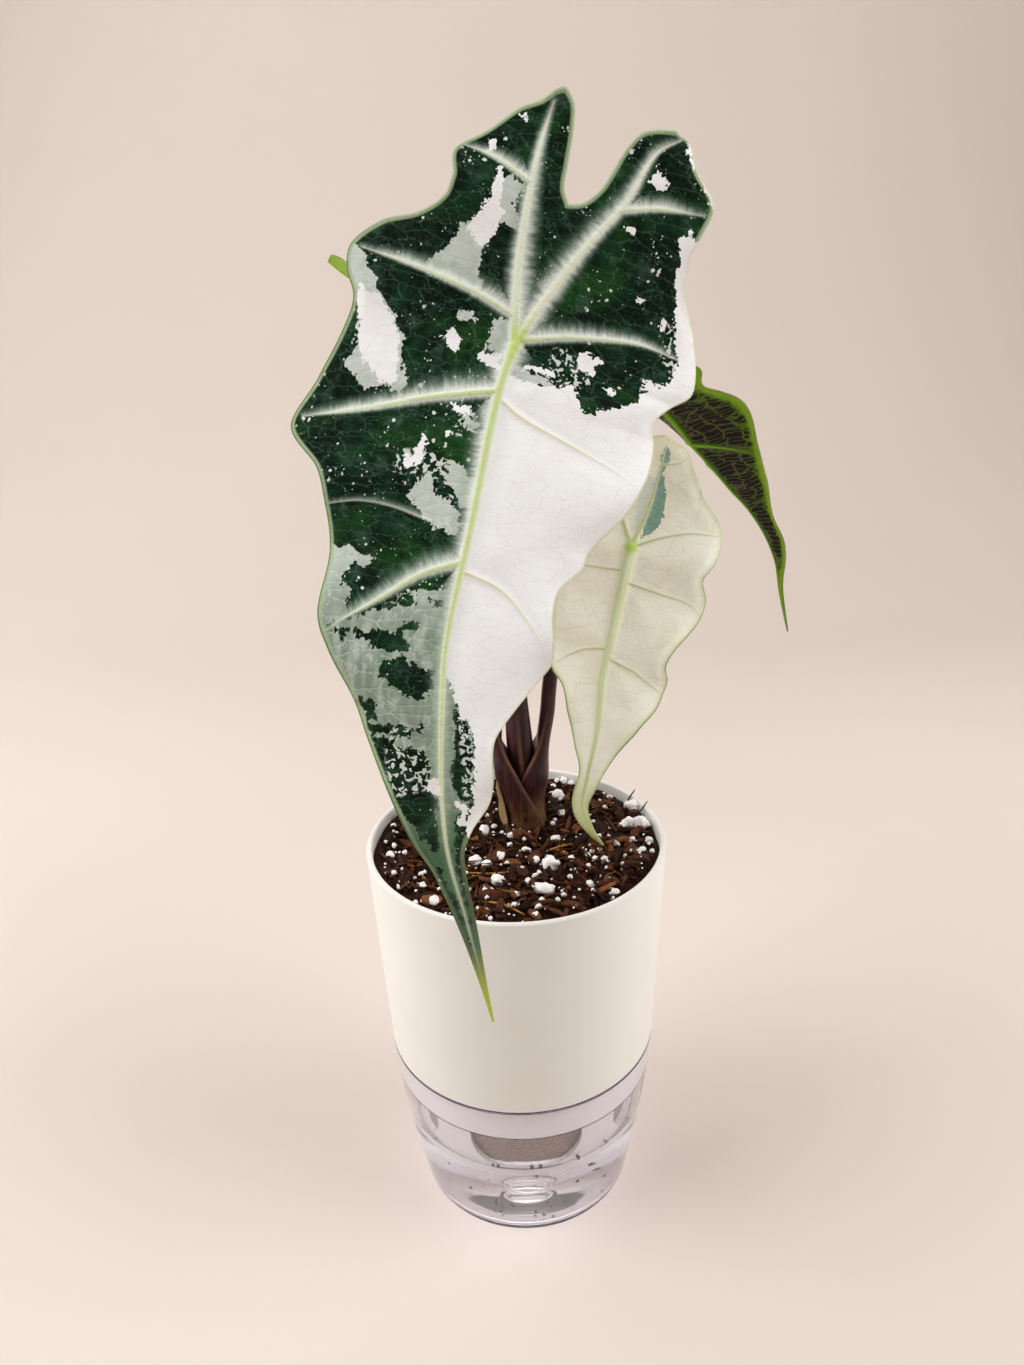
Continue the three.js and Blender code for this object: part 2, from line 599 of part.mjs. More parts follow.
function reservoir() {
  const fillet = cornerArc(BASE_R - BASE_FILLET, BASE_FILLET, BASE_FILLET, -90, 0, 3);
  const innerCorner = BASE_FILLET - 1;
  const innerFloor = RESERVOIR_FLOOR + innerCorner;
  const profile = [
    [0, 0],
    ...fillet,
    ...BEND_HEIGHTS.map((z) => [outsideRadius(z), z]),
    [SEAM_R, SEAM_Z - GAP],
    [SEAM_R - RESERVOIR_LIP, SEAM_Z - GAP],
    [SEAM_R - RESERVOIR_LIP - 0.2, LEDGE_Z],
    [LEDGE_R, LEDGE_Z],
    ...BEND_HEIGHTS.toReversed().map((z) => [insideRadius(z), z]),
    ...cornerArc(insideRadius(innerFloor) - innerCorner, innerFloor, innerCorner, 0, -90, 2),
    [GATE_R, RESERVOIR_FLOOR],
    [GATE_R - 0.6, RESERVOIR_FLOOR + GATE_HEIGHT],
    [GATE_R - 2, RESERVOIR_FLOOR + GATE_HEIGHT],
    [GATE_R - 2.8, RESERVOIR_FLOOR],
    [0, RESERVOIR_FLOOR],
  ];
  const look = { color: 0xdfdce8, roughness: 0.05, transparent: true, opacity: 0.4 };
  return piece("reservoir", turned(profile, POT_SIDES), look);
}

function water() {
  const innerCorner = BASE_FILLET - 1;
  const innerFloor = RESERVOIR_FLOOR + innerCorner;
  const profile = [
    [0, RESERVOIR_FLOOR + GATE_HEIGHT + GAP],
    [GATE_R + 2, RESERVOIR_FLOOR + GATE_HEIGHT + GAP],
    ...cornerArc(insideRadius(innerFloor) - innerCorner - GAP, innerFloor + GAP, innerCorner, -90, 0, 2),
    [insideRadius(BEND_HEIGHTS[0]) - GAP, BEND_HEIGHTS[0]],
    [insideRadius(WATER_Z) - GAP, WATER_Z],
    [FOOT_R + 0.7 + GAP, WATER_Z],
    [FOOT_R + GAP, FOOT_Z - GAP],
    [0, FOOT_Z - GAP],
  ];
  const look = { color: 0xdfe8ea, roughness: 0.02, transparent: true, opacity: 0.5 };
  return piece("water", turned(profile, POT_SIDES), look);
}

const neckRadius = SEAM_R - RESERVOIR_LIP - GAP;
const neckBottom = LEDGE_Z + GAP;

// A U-shaped window cut square through the foot's wall, facing along -Y before it is turned.
function windowCutter() {
  const half = WINDOW_WIDTH / 2;
  const shape = new THREE.Shape();
  const corners = [
    ...cornerArc(-half + WINDOW_CORNER, WINDOW_LOW + WINDOW_CORNER, WINDOW_CORNER, 180, 270, 4),
    ...cornerArc(half - WINDOW_CORNER, WINDOW_LOW + WINDOW_CORNER, WINDOW_CORNER, 270, 360, 4),
    [half, WINDOW_HIGH],
    [-half, WINDOW_HIGH],
  ];
  shape.setFromPoints(corners.map(([x, z]) => new THREE.Vector2(x, z)));
  const bar = new THREE.ExtrudeGeometry(shape, { depth: RIM_R, bevelEnabled: false });
  return bar.rotateX(Math.PI / 2);
}

function planter() {
  const shelf = SEAM_Z + NECK_WALL;
  const profile = [
    [0, FOOT_Z],
    [FOOT_R - 1, FOOT_Z],
    [FOOT_R, FOOT_Z + 1],
    [FOOT_TOP_R, neckBottom],
    [neckRadius - 0.15, neckBottom],
    [neckRadius, SEAM_Z],
    [SEAM_R, SEAM_Z],
    [RIM_R, RIM_Z - 0.8],
    [RIM_R - 0.6, RIM_Z],
    [RIM_R - PLANTER_WALL + 0.5, RIM_Z],
    [RIM_R - PLANTER_WALL, RIM_Z - 0.7],
    [outsideRadius(shelf + 3) - PLANTER_WALL, shelf + 3],
    [neckRadius - NECK_WALL, shelf],
    [neckRadius - NECK_WALL - 0.2, neckBottom + NECK_WALL],
    [FOOT_TOP_R - FOOT_WALL, neckBottom],
    [FOOT_R - FOOT_WALL, FOOT_Z + FOOT_WALL],
    [0, FOOT_Z + FOOT_WALL],
  ];
  let body = turned(profile, POT_SIDES);
  for (let k = 0; k < WINDOW_COUNT; k += 1) {
    body = body.subtract(solidOf(windowCutter().rotateZ((TAU * k) / WINDOW_COUNT)));
  }
  return piece("planter", body, { color: 0xf1e9de, roughness: 0.4 });
}

const linerRadius = (z) => {
  const share = (z - FOOT_Z - FOOT_WALL) / (neckBottom - FOOT_Z - FOOT_WALL);
  return FOOT_R - FOOT_WALL - GAP - 0.1 + (FOOT_TOP_R - FOOT_R) * share;
};

// The felt cup that lines the foot and draws water up to the potting mix.
function wickLiner() {
  const low = FOOT_Z + FOOT_WALL + GAP;
  const high = neckBottom - 0.5;
  const profile = [
    [0, low],
    [linerRadius(low), low],
    [linerRadius(high), high],
    [linerRadius(high) - LINER_WALL, high],
    [linerRadius(low) - LINER_WALL, low + LINER_WALL],
    [0, low + LINER_WALL],
  ];
  return piece("wick_liner", turned(profile, POT_SIDES), { color: 0x6b564a, roughness: 0.95 });
}

// The top of the potting mix at one point.
function soilTop(x, y) {
  const rolling = Math.sin(x * 0.21 + 1.3) * Math.cos(y * 0.18) + 0.6 * Math.sin(x * 0.47 - y * 0.39);
  return SOIL_Z + SOIL_BUMP * rolling;
}

// The potting mix without its lumps: walls that follow the planter, and a rolling top.
function soilBody() {
  const low = FOOT_Z + FOOT_WALL + 2 * GAP + LINER_WALL;
  const shelf = SEAM_Z + NECK_WALL;
  const wall = [
    [linerRadius(low) - LINER_WALL - GAP - 0.2, low],
    [linerRadius(neckBottom) - LINER_WALL - GAP - 0.1, neckBottom],
    [neckRadius - NECK_WALL - 0.7, neckBottom + NECK_WALL + 1],
    [neckRadius - NECK_WALL - 0.5, shelf + 0.6],
    [outsideRadius(shelf + 4) - PLANTER_WALL - GAP - 0.2, shelf + 4],
    [outsideRadius(SOIL_Z) - PLANTER_WALL - GAP - 0.1, SOIL_Z],
  ];
  const rings = wall.map(([r, z]) => ({ r, height: () => z }));
  const rimRadius = wall.at(-1)[0];
  rings.at(-1).height = soilTop;
  rings.push(...SOIL_RINGS.map((share) => ({ r: rimRadius * share, height: soilTop })));
  const vertices = [new THREE.Vector3(0, 0, low)];
  const triangles = [];
  rings.forEach(({ r, height }, k) => {
    for (let i = 0; i < POT_SIDES; i += 1) {
      const x = r * Math.cos((TAU * i) / POT_SIDES);
      const y = r * Math.sin((TAU * i) / POT_SIDES);
      vertices.push(new THREE.Vector3(x, y, height(x, y)));
      const a = 1 + k * POT_SIDES + i;
      const b = 1 + k * POT_SIDES + ((i + 1) % POT_SIDES);
      if (k === 0) {
        triangles.push(0, b, a);
      } else {
        triangles.push(a - POT_SIDES, b - POT_SIDES, b, a - POT_SIDES, b, a);
      }
    }
  });
  const top = vertices.length;
  const lastRing = top - POT_SIDES;
  vertices.push(new THREE.Vector3(0, 0, soilTop(0, 0)));
  for (let i = 0; i < POT_SIDES; i += 1) {
    triangles.push(lastRing + i, lastRing + ((i + 1) % POT_SIDES), top);
  }
  return solidOf(indexedGeometry(vertices, triangles));
}

// A place on the mix for a lump, clear of the plant's foot and of the planter's wall.
function lumpPlace(random, reach) {
  for (;;) {
    const r = reach * Math.sqrt(random());
    const a = TAU * random();
    const x = r * Math.cos(a);
    const y = r * Math.sin(a);
    if (Math.hypot(x - STEM_X, y - STEM_Y) > HOLE_R + LUMP_CLEARANCE) {
      return [x, y];
    }
  }
}

function soil() {
  const random = randomFrom(SOIL_SEED);
  let body = soilBody();
  for (let i = 0; i < CHIP_COUNT; i += 1) {
    const [x, y] = lumpPlace(random, LUMP_REACH - 2);
    const chip = new THREE.BoxGeometry(...CHIP_SIZE.map((side) => side * (0.55 + 0.6 * random())));
    chip.rotateX(CHIP_TILT[0] * (random() - 0.5)).rotateY(CHIP_TILT[1] * (random() - 0.5));
    chip.rotateZ(TAU * random()).translate(x, y, soilTop(x, y) - CHIP_SINK);
    body = body.add(solidOf(chip));
  }
  for (let i = 0; i < PERLITE_COUNT; i += 1) {
    const [x, y] = lumpPlace(random, LUMP_REACH);
    const size = PERLITE_SIZES[0] + (PERLITE_SIZES[1] - PERLITE_SIZES[0]) * random() ** 2;
    const grain = new THREE.IcosahedronGeometry(size).scale(1, 0.8, 0.8).rotateZ(TAU * random());
    body = body.add(solidOf(grain.translate(x, y, soilTop(x, y) + 0.1 * size)));
  }
  const pocket = [
    [0, ROOT_POCKET_Z],
    [ROOT_POCKET_R - 4, ROOT_POCKET_Z],
    [ROOT_POCKET_R, ROOT_POCKET_Z + 8],
    [ROOT_POCKET_R, CORM_TOP - 16],
    [HOLE_R, CORM_TOP - 6],
    [HOLE_R, RIM_Z + 4],
    [0, RIM_Z + 4],
  ];
  body = body.subtract(turned(pocket, 20).translate([STEM_X, STEM_Y, 0]));
  return piece("soil", largestBody(body), { color: 0x3a2418, roughness: 0.95 });
}

// The corm that the stalks grow from, with its roots hanging in the mix.
function rootstock() {
  const profile = [
    [0, CORM_TOP - CORM_HEIGHT],
    [CORM_R * 0.6, CORM_TOP - CORM_HEIGHT + 2],
    [CORM_R, CORM_TOP - 14],
    [CORM_R * 0.95, CORM_TOP - 5],
    [CORM_R * 0.8, CORM_TOP],
    [0, CORM_TOP],
  ];
  let body = turned(profile, 16);
  for (let k = 0; k < ROOT_COUNT; k += 1) {
    const points = ROOT_SPREAD.map((r, i) => {
      const turn = (TAU * k) / ROOT_COUNT + 0.12 * i * (k % 2 ? 1 : -1);
      return new THREE.Vector3(r * Math.cos(turn), r * Math.sin(turn), CORM_TOP - ROOT_DEPTHS[i] - (k % 2));
    });
    const shape = new THREE.Shape().absarc(0, 0, ROOT_RADIUS, 0, TAU);
    const root = new THREE.ExtrudeGeometry(shape, {
      steps: 6,
      curveSegments: 3,
      extrudePath: new THREE.CatmullRomCurve3(points),
    });
    body = body.add(solidOf(root));
  }
  return piece("rootstock", body.translate([STEM_X, STEM_Y, 0]), { color: 0xa98a63, roughness: 0.8 });
}

const plant = new THREE.Group();
plant.add(
  reservoir(),
  water(),
  planter(),
  wickLiner(),
  soil(),
  rootstock(),
  stalkPiece("petiole_marbled", MARBLED_STALK),
  stalkPiece("petiole_cream", CREAM_STALK),
  stalkPiece("petiole_dark", DARK_STALK),
  drySheath(),
  leafPiece("leaf_marbled", MARBLED_LEAF),
  leafPiece("leaf_cream", CREAM_LEAF),
  leafPiece("leaf_dark", DARK_LEAF),
);

export default plant;
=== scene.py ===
"""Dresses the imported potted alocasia: fine leaves, stalks, potting mix, pot and water round its solids."""

import math
from functools import partial

import bpy
import numpy as np
from bpy.props import FloatProperty, FloatVectorProperty, IntProperty, PointerProperty
from mathutils import Matrix, Vector, geometry, noise


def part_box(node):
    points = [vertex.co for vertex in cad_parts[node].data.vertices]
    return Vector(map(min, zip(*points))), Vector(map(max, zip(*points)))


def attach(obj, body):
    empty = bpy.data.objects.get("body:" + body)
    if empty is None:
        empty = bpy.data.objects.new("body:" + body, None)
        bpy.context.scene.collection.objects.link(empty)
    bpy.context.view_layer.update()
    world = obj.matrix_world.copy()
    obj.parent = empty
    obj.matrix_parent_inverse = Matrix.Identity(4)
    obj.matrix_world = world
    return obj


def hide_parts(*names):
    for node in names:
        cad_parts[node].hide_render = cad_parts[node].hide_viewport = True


bl_info = {
    "name": "Potted alocasia",
    "version": (1, 0, 0),
    "blender": (4, 5, 0),
    "location": "3D View > Sidebar > Alocasia",
    "description": "Builds a variegated alocasia in a self-watering pot round its packed solids",
    "category": "Add Mesh",
}

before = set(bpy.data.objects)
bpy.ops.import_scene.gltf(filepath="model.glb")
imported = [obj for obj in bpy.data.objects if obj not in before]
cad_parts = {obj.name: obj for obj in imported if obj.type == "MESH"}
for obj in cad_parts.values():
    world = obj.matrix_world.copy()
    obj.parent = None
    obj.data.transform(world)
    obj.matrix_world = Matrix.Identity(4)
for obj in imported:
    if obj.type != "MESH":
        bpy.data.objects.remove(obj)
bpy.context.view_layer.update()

MM = 0.001
TAU = 2 * math.pi
RIM_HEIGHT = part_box("planter")[1].z
RIM_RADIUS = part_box("planter")[1].x
CUP_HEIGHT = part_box("reservoir")[1].z
WATER_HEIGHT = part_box("water")[1].z

# Each leaf is laid out flat in millimetres: s runs down the midrib from where the stalk joins, and t
# across it. spine rows are [s, x, y, z]; outlines on the left have t below zero. lobe_in runs from a
# lobe's end down to the sinus, lobe_out from the same end down to the margin beside it, and margin from
# there to the tip.
MARBLED_LEAF = {
    "across": (1, 0, 0), "roll": 0, "fold": 0, "bend": -0.0018,
    "ripple": {"height": 2.6, "length": 44, "left": 0.4, "right": 2.2},
    "spine": [
        (-76, 33, 10, 396), (-43, 22, 3, 365), (0, 5, -5, 327), (18, -1, -13, 312), (59, -10, -33, 278),
        (92, -18, -49, 249), (112, -20, -58, 231), (136, -21, -66, 209), (154, -20, -70, 191),
        (175, -16, -72, 171), (190, -13, -74, 156), (212, -9, -76, 134),
    ],
    "sinus": (-43, 0),
    "left": {
        "lobe_in": [(-72.5, -10), (-69, -6.6), (-62, -4.8), (-53, -3.6), (-46.5, -2.6), (-43, 0)],
        "lobe_out": [
            (-72.5, -10), (-71, -13), (-68, -16), (-64.5, -22), (-56.5, -29.5), (-47.5, -37),
            (-38.5, -34.7),
        ],
        "margin": [
            (-38.5, -34.7), (-32, -35), (-25, -40.5), (-18.5, -51), (-9.5, -57.6), (-3.5, -56),
            (2.5, -51.3), (11, -52), (20, -55.5), (33.5, -61.5), (48.5, -48.7), (60, -44), (73, -40.2),
            (90.5, -38.5), (97, -34), (107.5, -26.7), (120, -22), (139.5, -13.5), (151.5, -9), (159, -6),
            (167, -4.6), (183.5, -2.4), (198, -1.2), (212, -0.3),
        ],
    },
    "right": {
        "lobe_in": [(-71, 24), (-69.3, 17.8), (-67, 14), (-61.5, 11), (-49.5, 7.3), (-44.5, 3.5), (-43, 0)],
        "lobe_out": [(-71, 24), (-70, 28.5), (-63, 33), (-55, 41), (-48, 40.3), (-42.5, 39)],
        "margin": [
            (-42.5, 39), (-34.5, 41.3), (-23.5, 50), (-14, 54.5), (-6, 55.4), (2, 50), (9, 47.2), (21, 49),
            (34, 48.3), (46.5, 44), (58.5, 35.3), (63, 34.4), (71, 29), (79, 28.9), (87, 30.6),
            (95.5, 30.9), (104.5, 25.9), (115, 18.5), (121, 15.4), (134, 15.1), (141, 13.4), (149, 7.7),
            (154.5, 4.9), (162, 3.8), (175, 2.9), (194, 1.4), (212, 0.3),
        ],
    },
    "veins": [
        (3.0, [(0, 0), (60, 0), (120, 0), (170, 0), (206, 0)]),
        (2.8, [(0, 0), (-20, -7), (-40, -11.5), (-55, -13), (-68, -12.6)]),
        (2.8, [(0, 0), (-18, 4.2), (-35, 9.5), (-48, 15.5), (-63, 20), (-69, 26)]),
        (1.8, [(-7.5, -2.8), (-9.5, -14), (-10.5, -31.5), (-10, -54)]),
        (1.3, [(-45, -12.2), (-48.7, -24.7), (-50, -36)]),
        (1.3, [(-46, 14.4), (-50, 25.5), (-52, 39)]),
        (1.7, [(-1, 0), (-7, 12), (-11.5, 23.5), (-15, 35.4), (-15.5, 49)]),
        (2.2, [(15.5, 0), (20.5, -17), (27, -38), (31, -58)]),
        (1.5, [(17, 0), (22, 8), (27, 22), (33, 38), (38, 47)]),
        (1.9, [(69, 0), (75, -11.3), (83, -21), (94, -36)]),
        (1.4, [(71.5, 0), (74.5, 12.5), (80, 20), (88, 27), (95, 30)]),
        (0.35, [(59, -12), (56.5, -25), (56.5, -34), (59, -43)]),
    ],
}
CREAM_LEAF = {
    "across": (1, 0, 0), "roll": 0, "fold": 0, "bend": -0.002,
    "ripple": {"height": 1.6, "length": 31, "left": 2.6, "right": 0.6},
    "spine": [
        (-50, 56.5, 27, 305), (0, 43, 15, 258), (18, 39, 12, 241), (35, 35, 8, 225), (48, 32, 5, 213),
        (66, 30, 0, 196), (84, 26, -5, 180), (95, 24, -7, 170), (105, 27, -9, 161), (113, 31.5, -9, 154),
    ],
    "sinus": (-22, -7),
    "left": {
        "lobe_in": [(-42, -20), (-38, -14), (-30, -10), (-22, -7)],
        "lobe_out": [(-42, -20), (-41, -25), (-34, -29), (-26, -28)],
        "margin": [
            (-26, -28), (-16, -30), (-6, -27), (6, -23.8), (24, -22.5), (39, -20), (46, -18.4),
            (51, -13.6), (61, -10.9), (73.5, -6.8), (81.5, -3.4), (89.5, -3.5), (98.5, -3.4),
            (106.5, -1.7), (113, -0.3),
        ],
    },
    "right": {
        "lobe_in": [(-39, 2), (-37, -2.5), (-30, -6.5), (-22, -7)],
        "lobe_out": [(-39, 2), (-37.5, 6), (-36, 10.5), (-30, 14.5), (-22, 20)],
        "margin": [
            (-22, 20), (-14, 29), (-7.5, 31), (0, 30), (7, 27.4), (14, 30.5), (21, 29.8), (33, 22.8),
            (38, 21.3), (44, 23.4), (56.5, 21.2), (64.5, 14.5), (72, 9.4), (82, 5.8), (91, 3.5), (98, 1.8),
            (106, 1), (113, 0.3),
        ],
    },
    "veins": [
        (3.4, [(0, 0), (35, 0), (70, 0), (104, 0)]),
        (1.4, [(0, 0), (-12, 2.4), (-36, 3.4)]),
        (1.2, [(0, 0), (-12, -7), (-36, -19)]),
        (0.8, [(-1, 2), (-5, 9), (-9, 19), (-10.5, 29)]),
        (0.7, [(12.5, 1), (14.5, 14), (16, 24), (18.5, 29)]),
        (0.7, [(40, 1), (43, 11), (48, 18), (52, 22)]),
        (0.6, [(8.5, -1), (9, -10), (9, -22)]),
        (0.8, [(36.5, 0), (38.5, -8), (45, -17)]),
        (0.5, [(-29, 3), (-31, 9), (-34, 12)]),
    ],
}
DARK_LEAF = {
    "across": (-0.3, 0.8, -0.4), "roll": 8, "fold": 38, "bend": -0.002,
    "ripple": {"height": 1.4, "length": 27, "left": 1.1, "right": 2.9},
    "spine": [
        (-70, -65, 35, 355), (-24, -25, 41, 333), (0, -3, 44, 323), (32, 27, 48, 311), (64, 56, 50, 297),
        (84, 70.6, 49, 284.6), (104, 84, 46, 270.2), (121, 94, 43, 258.2), (135, 100, 39, 245.2),
        (148, 101.6, 35, 232.6), (162, 104.2, 31, 219.2),
    ],
    "sinus": (-24, 0),
    "left": {
        "lobe_in": [(-47, -14), (-43, -8), (-36, -5), (-28, -3), (-24, 0)],
        "lobe_out": [(-47, -14), (-45, -20), (-38, -25), (-28, -27.5)],
        "margin": [
            (-28, -27.5), (-12, -34), (4, -37), (18, -33.5), (34, -35.5), (48, -31), (56.5, -29.6),
            (62, -27), (65.5, -28), (68.5, -24), (74, -26), (80.5, -27), (89, -26), (97.5, -22),
            (108, -14), (120, -8.5), (129.5, -7), (134.5, -5.2), (142, -2.8), (152, -1.6), (162, -0.3),
        ],
    },
    "right": {
        "lobe_in": [(-60, 12), (-52, 6.5), (-40, 4.5), (-29, 2.5), (-24, 0)],
        "lobe_out": [(-60, 12), (-59.5, 17), (-54, 22), (-44, 24), (-36, 27)],
        "margin": [
            (-36, 27), (-20, 32), (0, 36), (15, 34.5), (30, 36), (45, 32), (60, 30.5), (75, 27), (90, 23),
            (104, 15), (118, 9), (130, 7), (145, 3.5), (155, 1.6), (162, 0.3),
        ],
    },
    "veins": [
        (2.4, [(0, 0), (40, -5.5), (62, -4.8), (74, -2.6), (86, -0.7), (110, 0), (154, 0)]),
        (1.6, [(0, 0), (-20, -6), (-42, -15)]),
        (1.6, [(0, 0), (-22, 6), (-55, 14)]),
        (1.3, [(-1, 0), (-4, -18), (-3, -33)]),
        (1.3, [(-1, 0), (-4, 18), (-3, 33)]),
        (1.3, [(22, 0), (28, -18), (37, -32)]),
        (1.3, [(22, 0), (28, 18), (37, 32)]),
        (1.2, [(56, 0), (62, -12), (70, -24)]),
        (1.2, [(56, 0), (66, 12), (79, 24)]),
        (1.2, [(80, 0), (90, -10), (98, -18)]),
        (0.9, [(90, 0), (98, 8), (108, 12)]),
    ],
}

# Patches of the leaves' colours as outlines in (s, t). Their ragged edges are drawn by the materials.
MARBLED_PATCHES = {
    "white": [
        [
            (9.7, 0), (10.5, 6), (10.5, 14), (8.5, 17), (6.5, 20), (8, 21.5), (13, 23.5), (16, 26),
            (15.5, 28.5), (13, 30), (11, 33), (8.5, 36), (5, 39), (0, 41), (-4, 44), (-8, 47.5), (-12, 48),
            (-16, 47.5), (-20, 44.5), (-25, 42), (-31, 39.5), (-37, 37), (-42, 36.5), (-45, 38), (-48, 42),
            (-48, 70), (150, 70), (152, 6), (146, 6.5), (141, 8), (138, 9), (130, 9.5), (124, 9.5),
            (120, 9), (115, 7.5), (111, 4), (107, 3), (103, 2), (100, 0), (60, -0.8),
        ],
        [
            (-46, -22.5), (-44, -20), (-38, -19.2), (-34, -17.3), (-29, -17), (-24, -18), (-22, -20),
            (-24, -23), (-25, -25.5), (-28, -24.5), (-33, -23), (-38, -22.3), (-42, -22.6),
        ],
        [
            (0, -51), (3.5, -50), (7, -47), (11, -46), (15, -42.5), (17, -39.5), (19.5, -36), (20, -32),
            (18, -31), (14, -32), (10, -33.5), (6, -36), (3, -40), (0, -45),
        ],
        [(3, -20.5), (2.5, -18), (5, -15.5), (8, -14.5), (9, -15), (7, -18), (5, -21.5)],
        [(5.5, -8), (7, -10), (8.5, -6), (9, -2.5), (5, -3)],
        [(-5, 19), (-6, 23), (-5, 26), (-2, 25), (0, 26), (0.5, 22), (-1, 19)],
        [(2.5, 29), (2, 32), (5, 33.5), (6, 31.5), (4.5, 30.5)],
        [(-4.5, 40), (-5, 43), (-2, 42), (-1.5, 40)],
        [(5, 5), (5, 14), (6.5, 14), (6.5, 5)],
        [(33.5, -19.5), (34, -17.5), (37, -18), (39, -17), (43.5, -20), (44, -22), (40.5, -24), (39, -21)],
        [(22, -13), (22, -7), (24, -7), (24.5, -12)],
        [(-70, 29), (-67, 28.6), (-63, 33), (-58, 37), (-52, 44), (-75, 44)],
        [(-60, 21.5), (-55.5, 20), (-55, 22), (-58, 23.5)],
        [(-58, 23), (-58, 25.2), (-54.5, 25), (-54.5, 23.5)],
        [(-44, 34), (-47, 37), (-45, 40), (-40, 40), (-41, 36)],
        [(-43, 18), (-43, 20), (-41.5, 20), (-42, 18)],
        [(-55, -26), (-51, -25), (-50.5, -26.5), (-53, -27)],
        [(-64, -20.5), (-62, -18.5), (-60.5, -20)],
        [(-26, -22.5), (-26.5, -20), (-25, -20)],
        [(-24.5, 38.5), (-24, 40), (-22, 39.5), (-22.5, 38)],
        [(-27, 29), (-27, 30.5), (-24, 30.5), (-24, 29.5)],
        [(31, -13), (31.5, -11), (33, -11), (33, -12.5)],
        [(132.5, -4), (132, 0), (137, 0), (136, -4)],
        [(139, 4), (139.5, 7.5), (146, 6.5), (146, 4.5), (142, 5.5)],
    ],
    "pale": [
        [
            (-44.5, -20), (-44, -14), (-38, -15), (-31, -11), (-30, -17), (-26, -17.7), (-21, -18.7),
            (-17, -18), (-13, -15.5), (-11, -15), (-11, -34), (-14, -33), (-17, -30.5), (-20, -28.5),
            (-22, -27), (-24, -27.5), (-26.5, -29), (-27, -26), (-29, -24), (-33, -23), (-38, -22.3),
        ],
        [
            (-12, -60), (-9, -53), (-5, -48), (-1, -44.5), (3, -38), (8, -33), (14, -29.5), (19, -28),
            (22, -29), (20.5, -34), (21.5, -40), (19, -43.5), (17, -48), (13, -45.5), (7, -47.5),
            (3.5, -50.5), (0, -54), (-4, -60),
        ],
        [(6, 2.5), (7, 8), (6, 13), (9.5, 14.5), (10.5, 13), (11, 3)],
        [
            (44.5, -16), (46, -14), (49.5, -13.5), (51, -10.5), (53.5, -6), (55.5, -3.5), (61.5, -3.5),
            (61, -10), (58.5, -14), (55.5, -17.5), (53, -20.5), (50, -19.5), (48, -18),
        ],
        [(40, -10.5), (40, -7), (42, -5), (44, -4), (45, 0), (53, 0), (53, -5), (48.5, -7.5), (46.5, -10)],
        [(26, -8.5), (25.5, -5), (27, -4), (29, -6), (29, -10)],
        [(-3.5, -19), (-4, -15), (-2.5, -12.5), (-1.5, -15), (-1.5, -18)],
        [(-6, -8), (-1, -9), (4, -7), (6, -3), (6, 0), (-6, 0)],
        [
            (71, -46), (71.5, -34), (72, -30.5), (73, -25.5), (75.5, -28), (76.5, -33), (79, -34),
            (82, -32.5), (83.5, -30), (85.5, -31), (88.5, -30), (90, -31), (93, -36), (93, -46),
        ],
        [
            (76, 0), (78.5, -6), (79.5, -12), (81.5, -15), (86, -21), (90, -29), (93, -37), (96, -50),
            (230, -50), (230, 50), (152, 50), (152, 6), (146, 6.5), (139, 9), (124, 10.5), (115, 8.5),
            (110, 4.5), (105, 3), (100, 0),
        ],
    ],
    "green": [
        [(80.5, -13), (81, -11), (84, -11), (85.5, -18), (86, -21), (83.5, -17)],
        [(81, -7.5), (81, -2.5), (82.5, -2.5), (82.5, -7.5)],
        [(88, -13.5), (88.5, -9), (91, -9), (92, -10), (90, -13)],
        [(91, -29), (92.5, -24), (91.5, -20), (91, -14), (93, -12), (96, -10.5), (97, -17), (96, -20),
         (93, -27)],
        [(93, -33), (92, -31), (93.5, -27), (94.5, -30)],
        [
            (98, -17), (97.5, -11), (100, -9), (101, -3), (106, -3.2), (107.5, -6), (109.5, -5),
            (108, -10), (106, -13), (104, -17), (101, -19),
        ],
        [(109, -24.5), (109, -21), (112, -19), (115, -18.6), (115, -22), (112, -23)],
        [(116.5, -21.5), (117, -12), (117.5, -8), (120.5, -8), (120.5, -13), (118.5, -17), (120, -20)],
        [(115.5, -7.5), (115.8, -5.5), (117, -5.5), (118.8, -6.5), (117.5, -7.5)],
        [
            (119.5, -20.5), (121, -14), (123, -13), (123, -9), (124, -4.5), (127, -3), (130, -3),
            (133, -3.5), (136, -2.5), (139, -1.5), (143, -1.5), (147, -1.5), (152, -2.5), (153, -4),
            (150, -5.5), (147, -7.5), (144, -9.5), (140, -12), (137, -14), (133, -15), (128, -17.5),
            (124, -20),
        ],
        [
            (111, 3.5), (112, 5.8), (116, 8.2), (121, 8.7), (123.5, 9.6), (128, 9.6), (133, 9.2),
            (138, 9.6), (140, 7.5), (138, 5), (134, 3), (131, 3.2), (127, 3.2), (124, 4.3), (118, 3.6),
        ],
        [(140.5, 5.5), (141.5, 8), (146, 7), (151, 5), (152, 2.8), (147, 2.6), (144, 4.5)],
        [(153, 1.6), (153, 4.5), (178, 2.6), (178, 0.8)],
        [(160, -5.4), (157, -3.6), (172, -1), (186, -0.5), (186, -1.6), (172, -3)],
    ],
    "lace": [
        [(117, -16), (117, -2), (135, -2), (137, -14), (128, -16)],
        [(112, 4), (112, 12), (138, 12), (140, 6), (130, 6), (120, 5)],
        [(-3, 11), (-5, 14), (-2, 20), (3, 26), (8, 22), (8, 14), (2, 11)],
        [(-24, 40), (-24, 48), (-14, 50), (-10, 46), (-14, 42)],
        [(38, -26), (38, -10), (47, -10), (46, -26)],
        [(21, -10), (21, -3), (32, -4), (32, -10)],
    ],
}
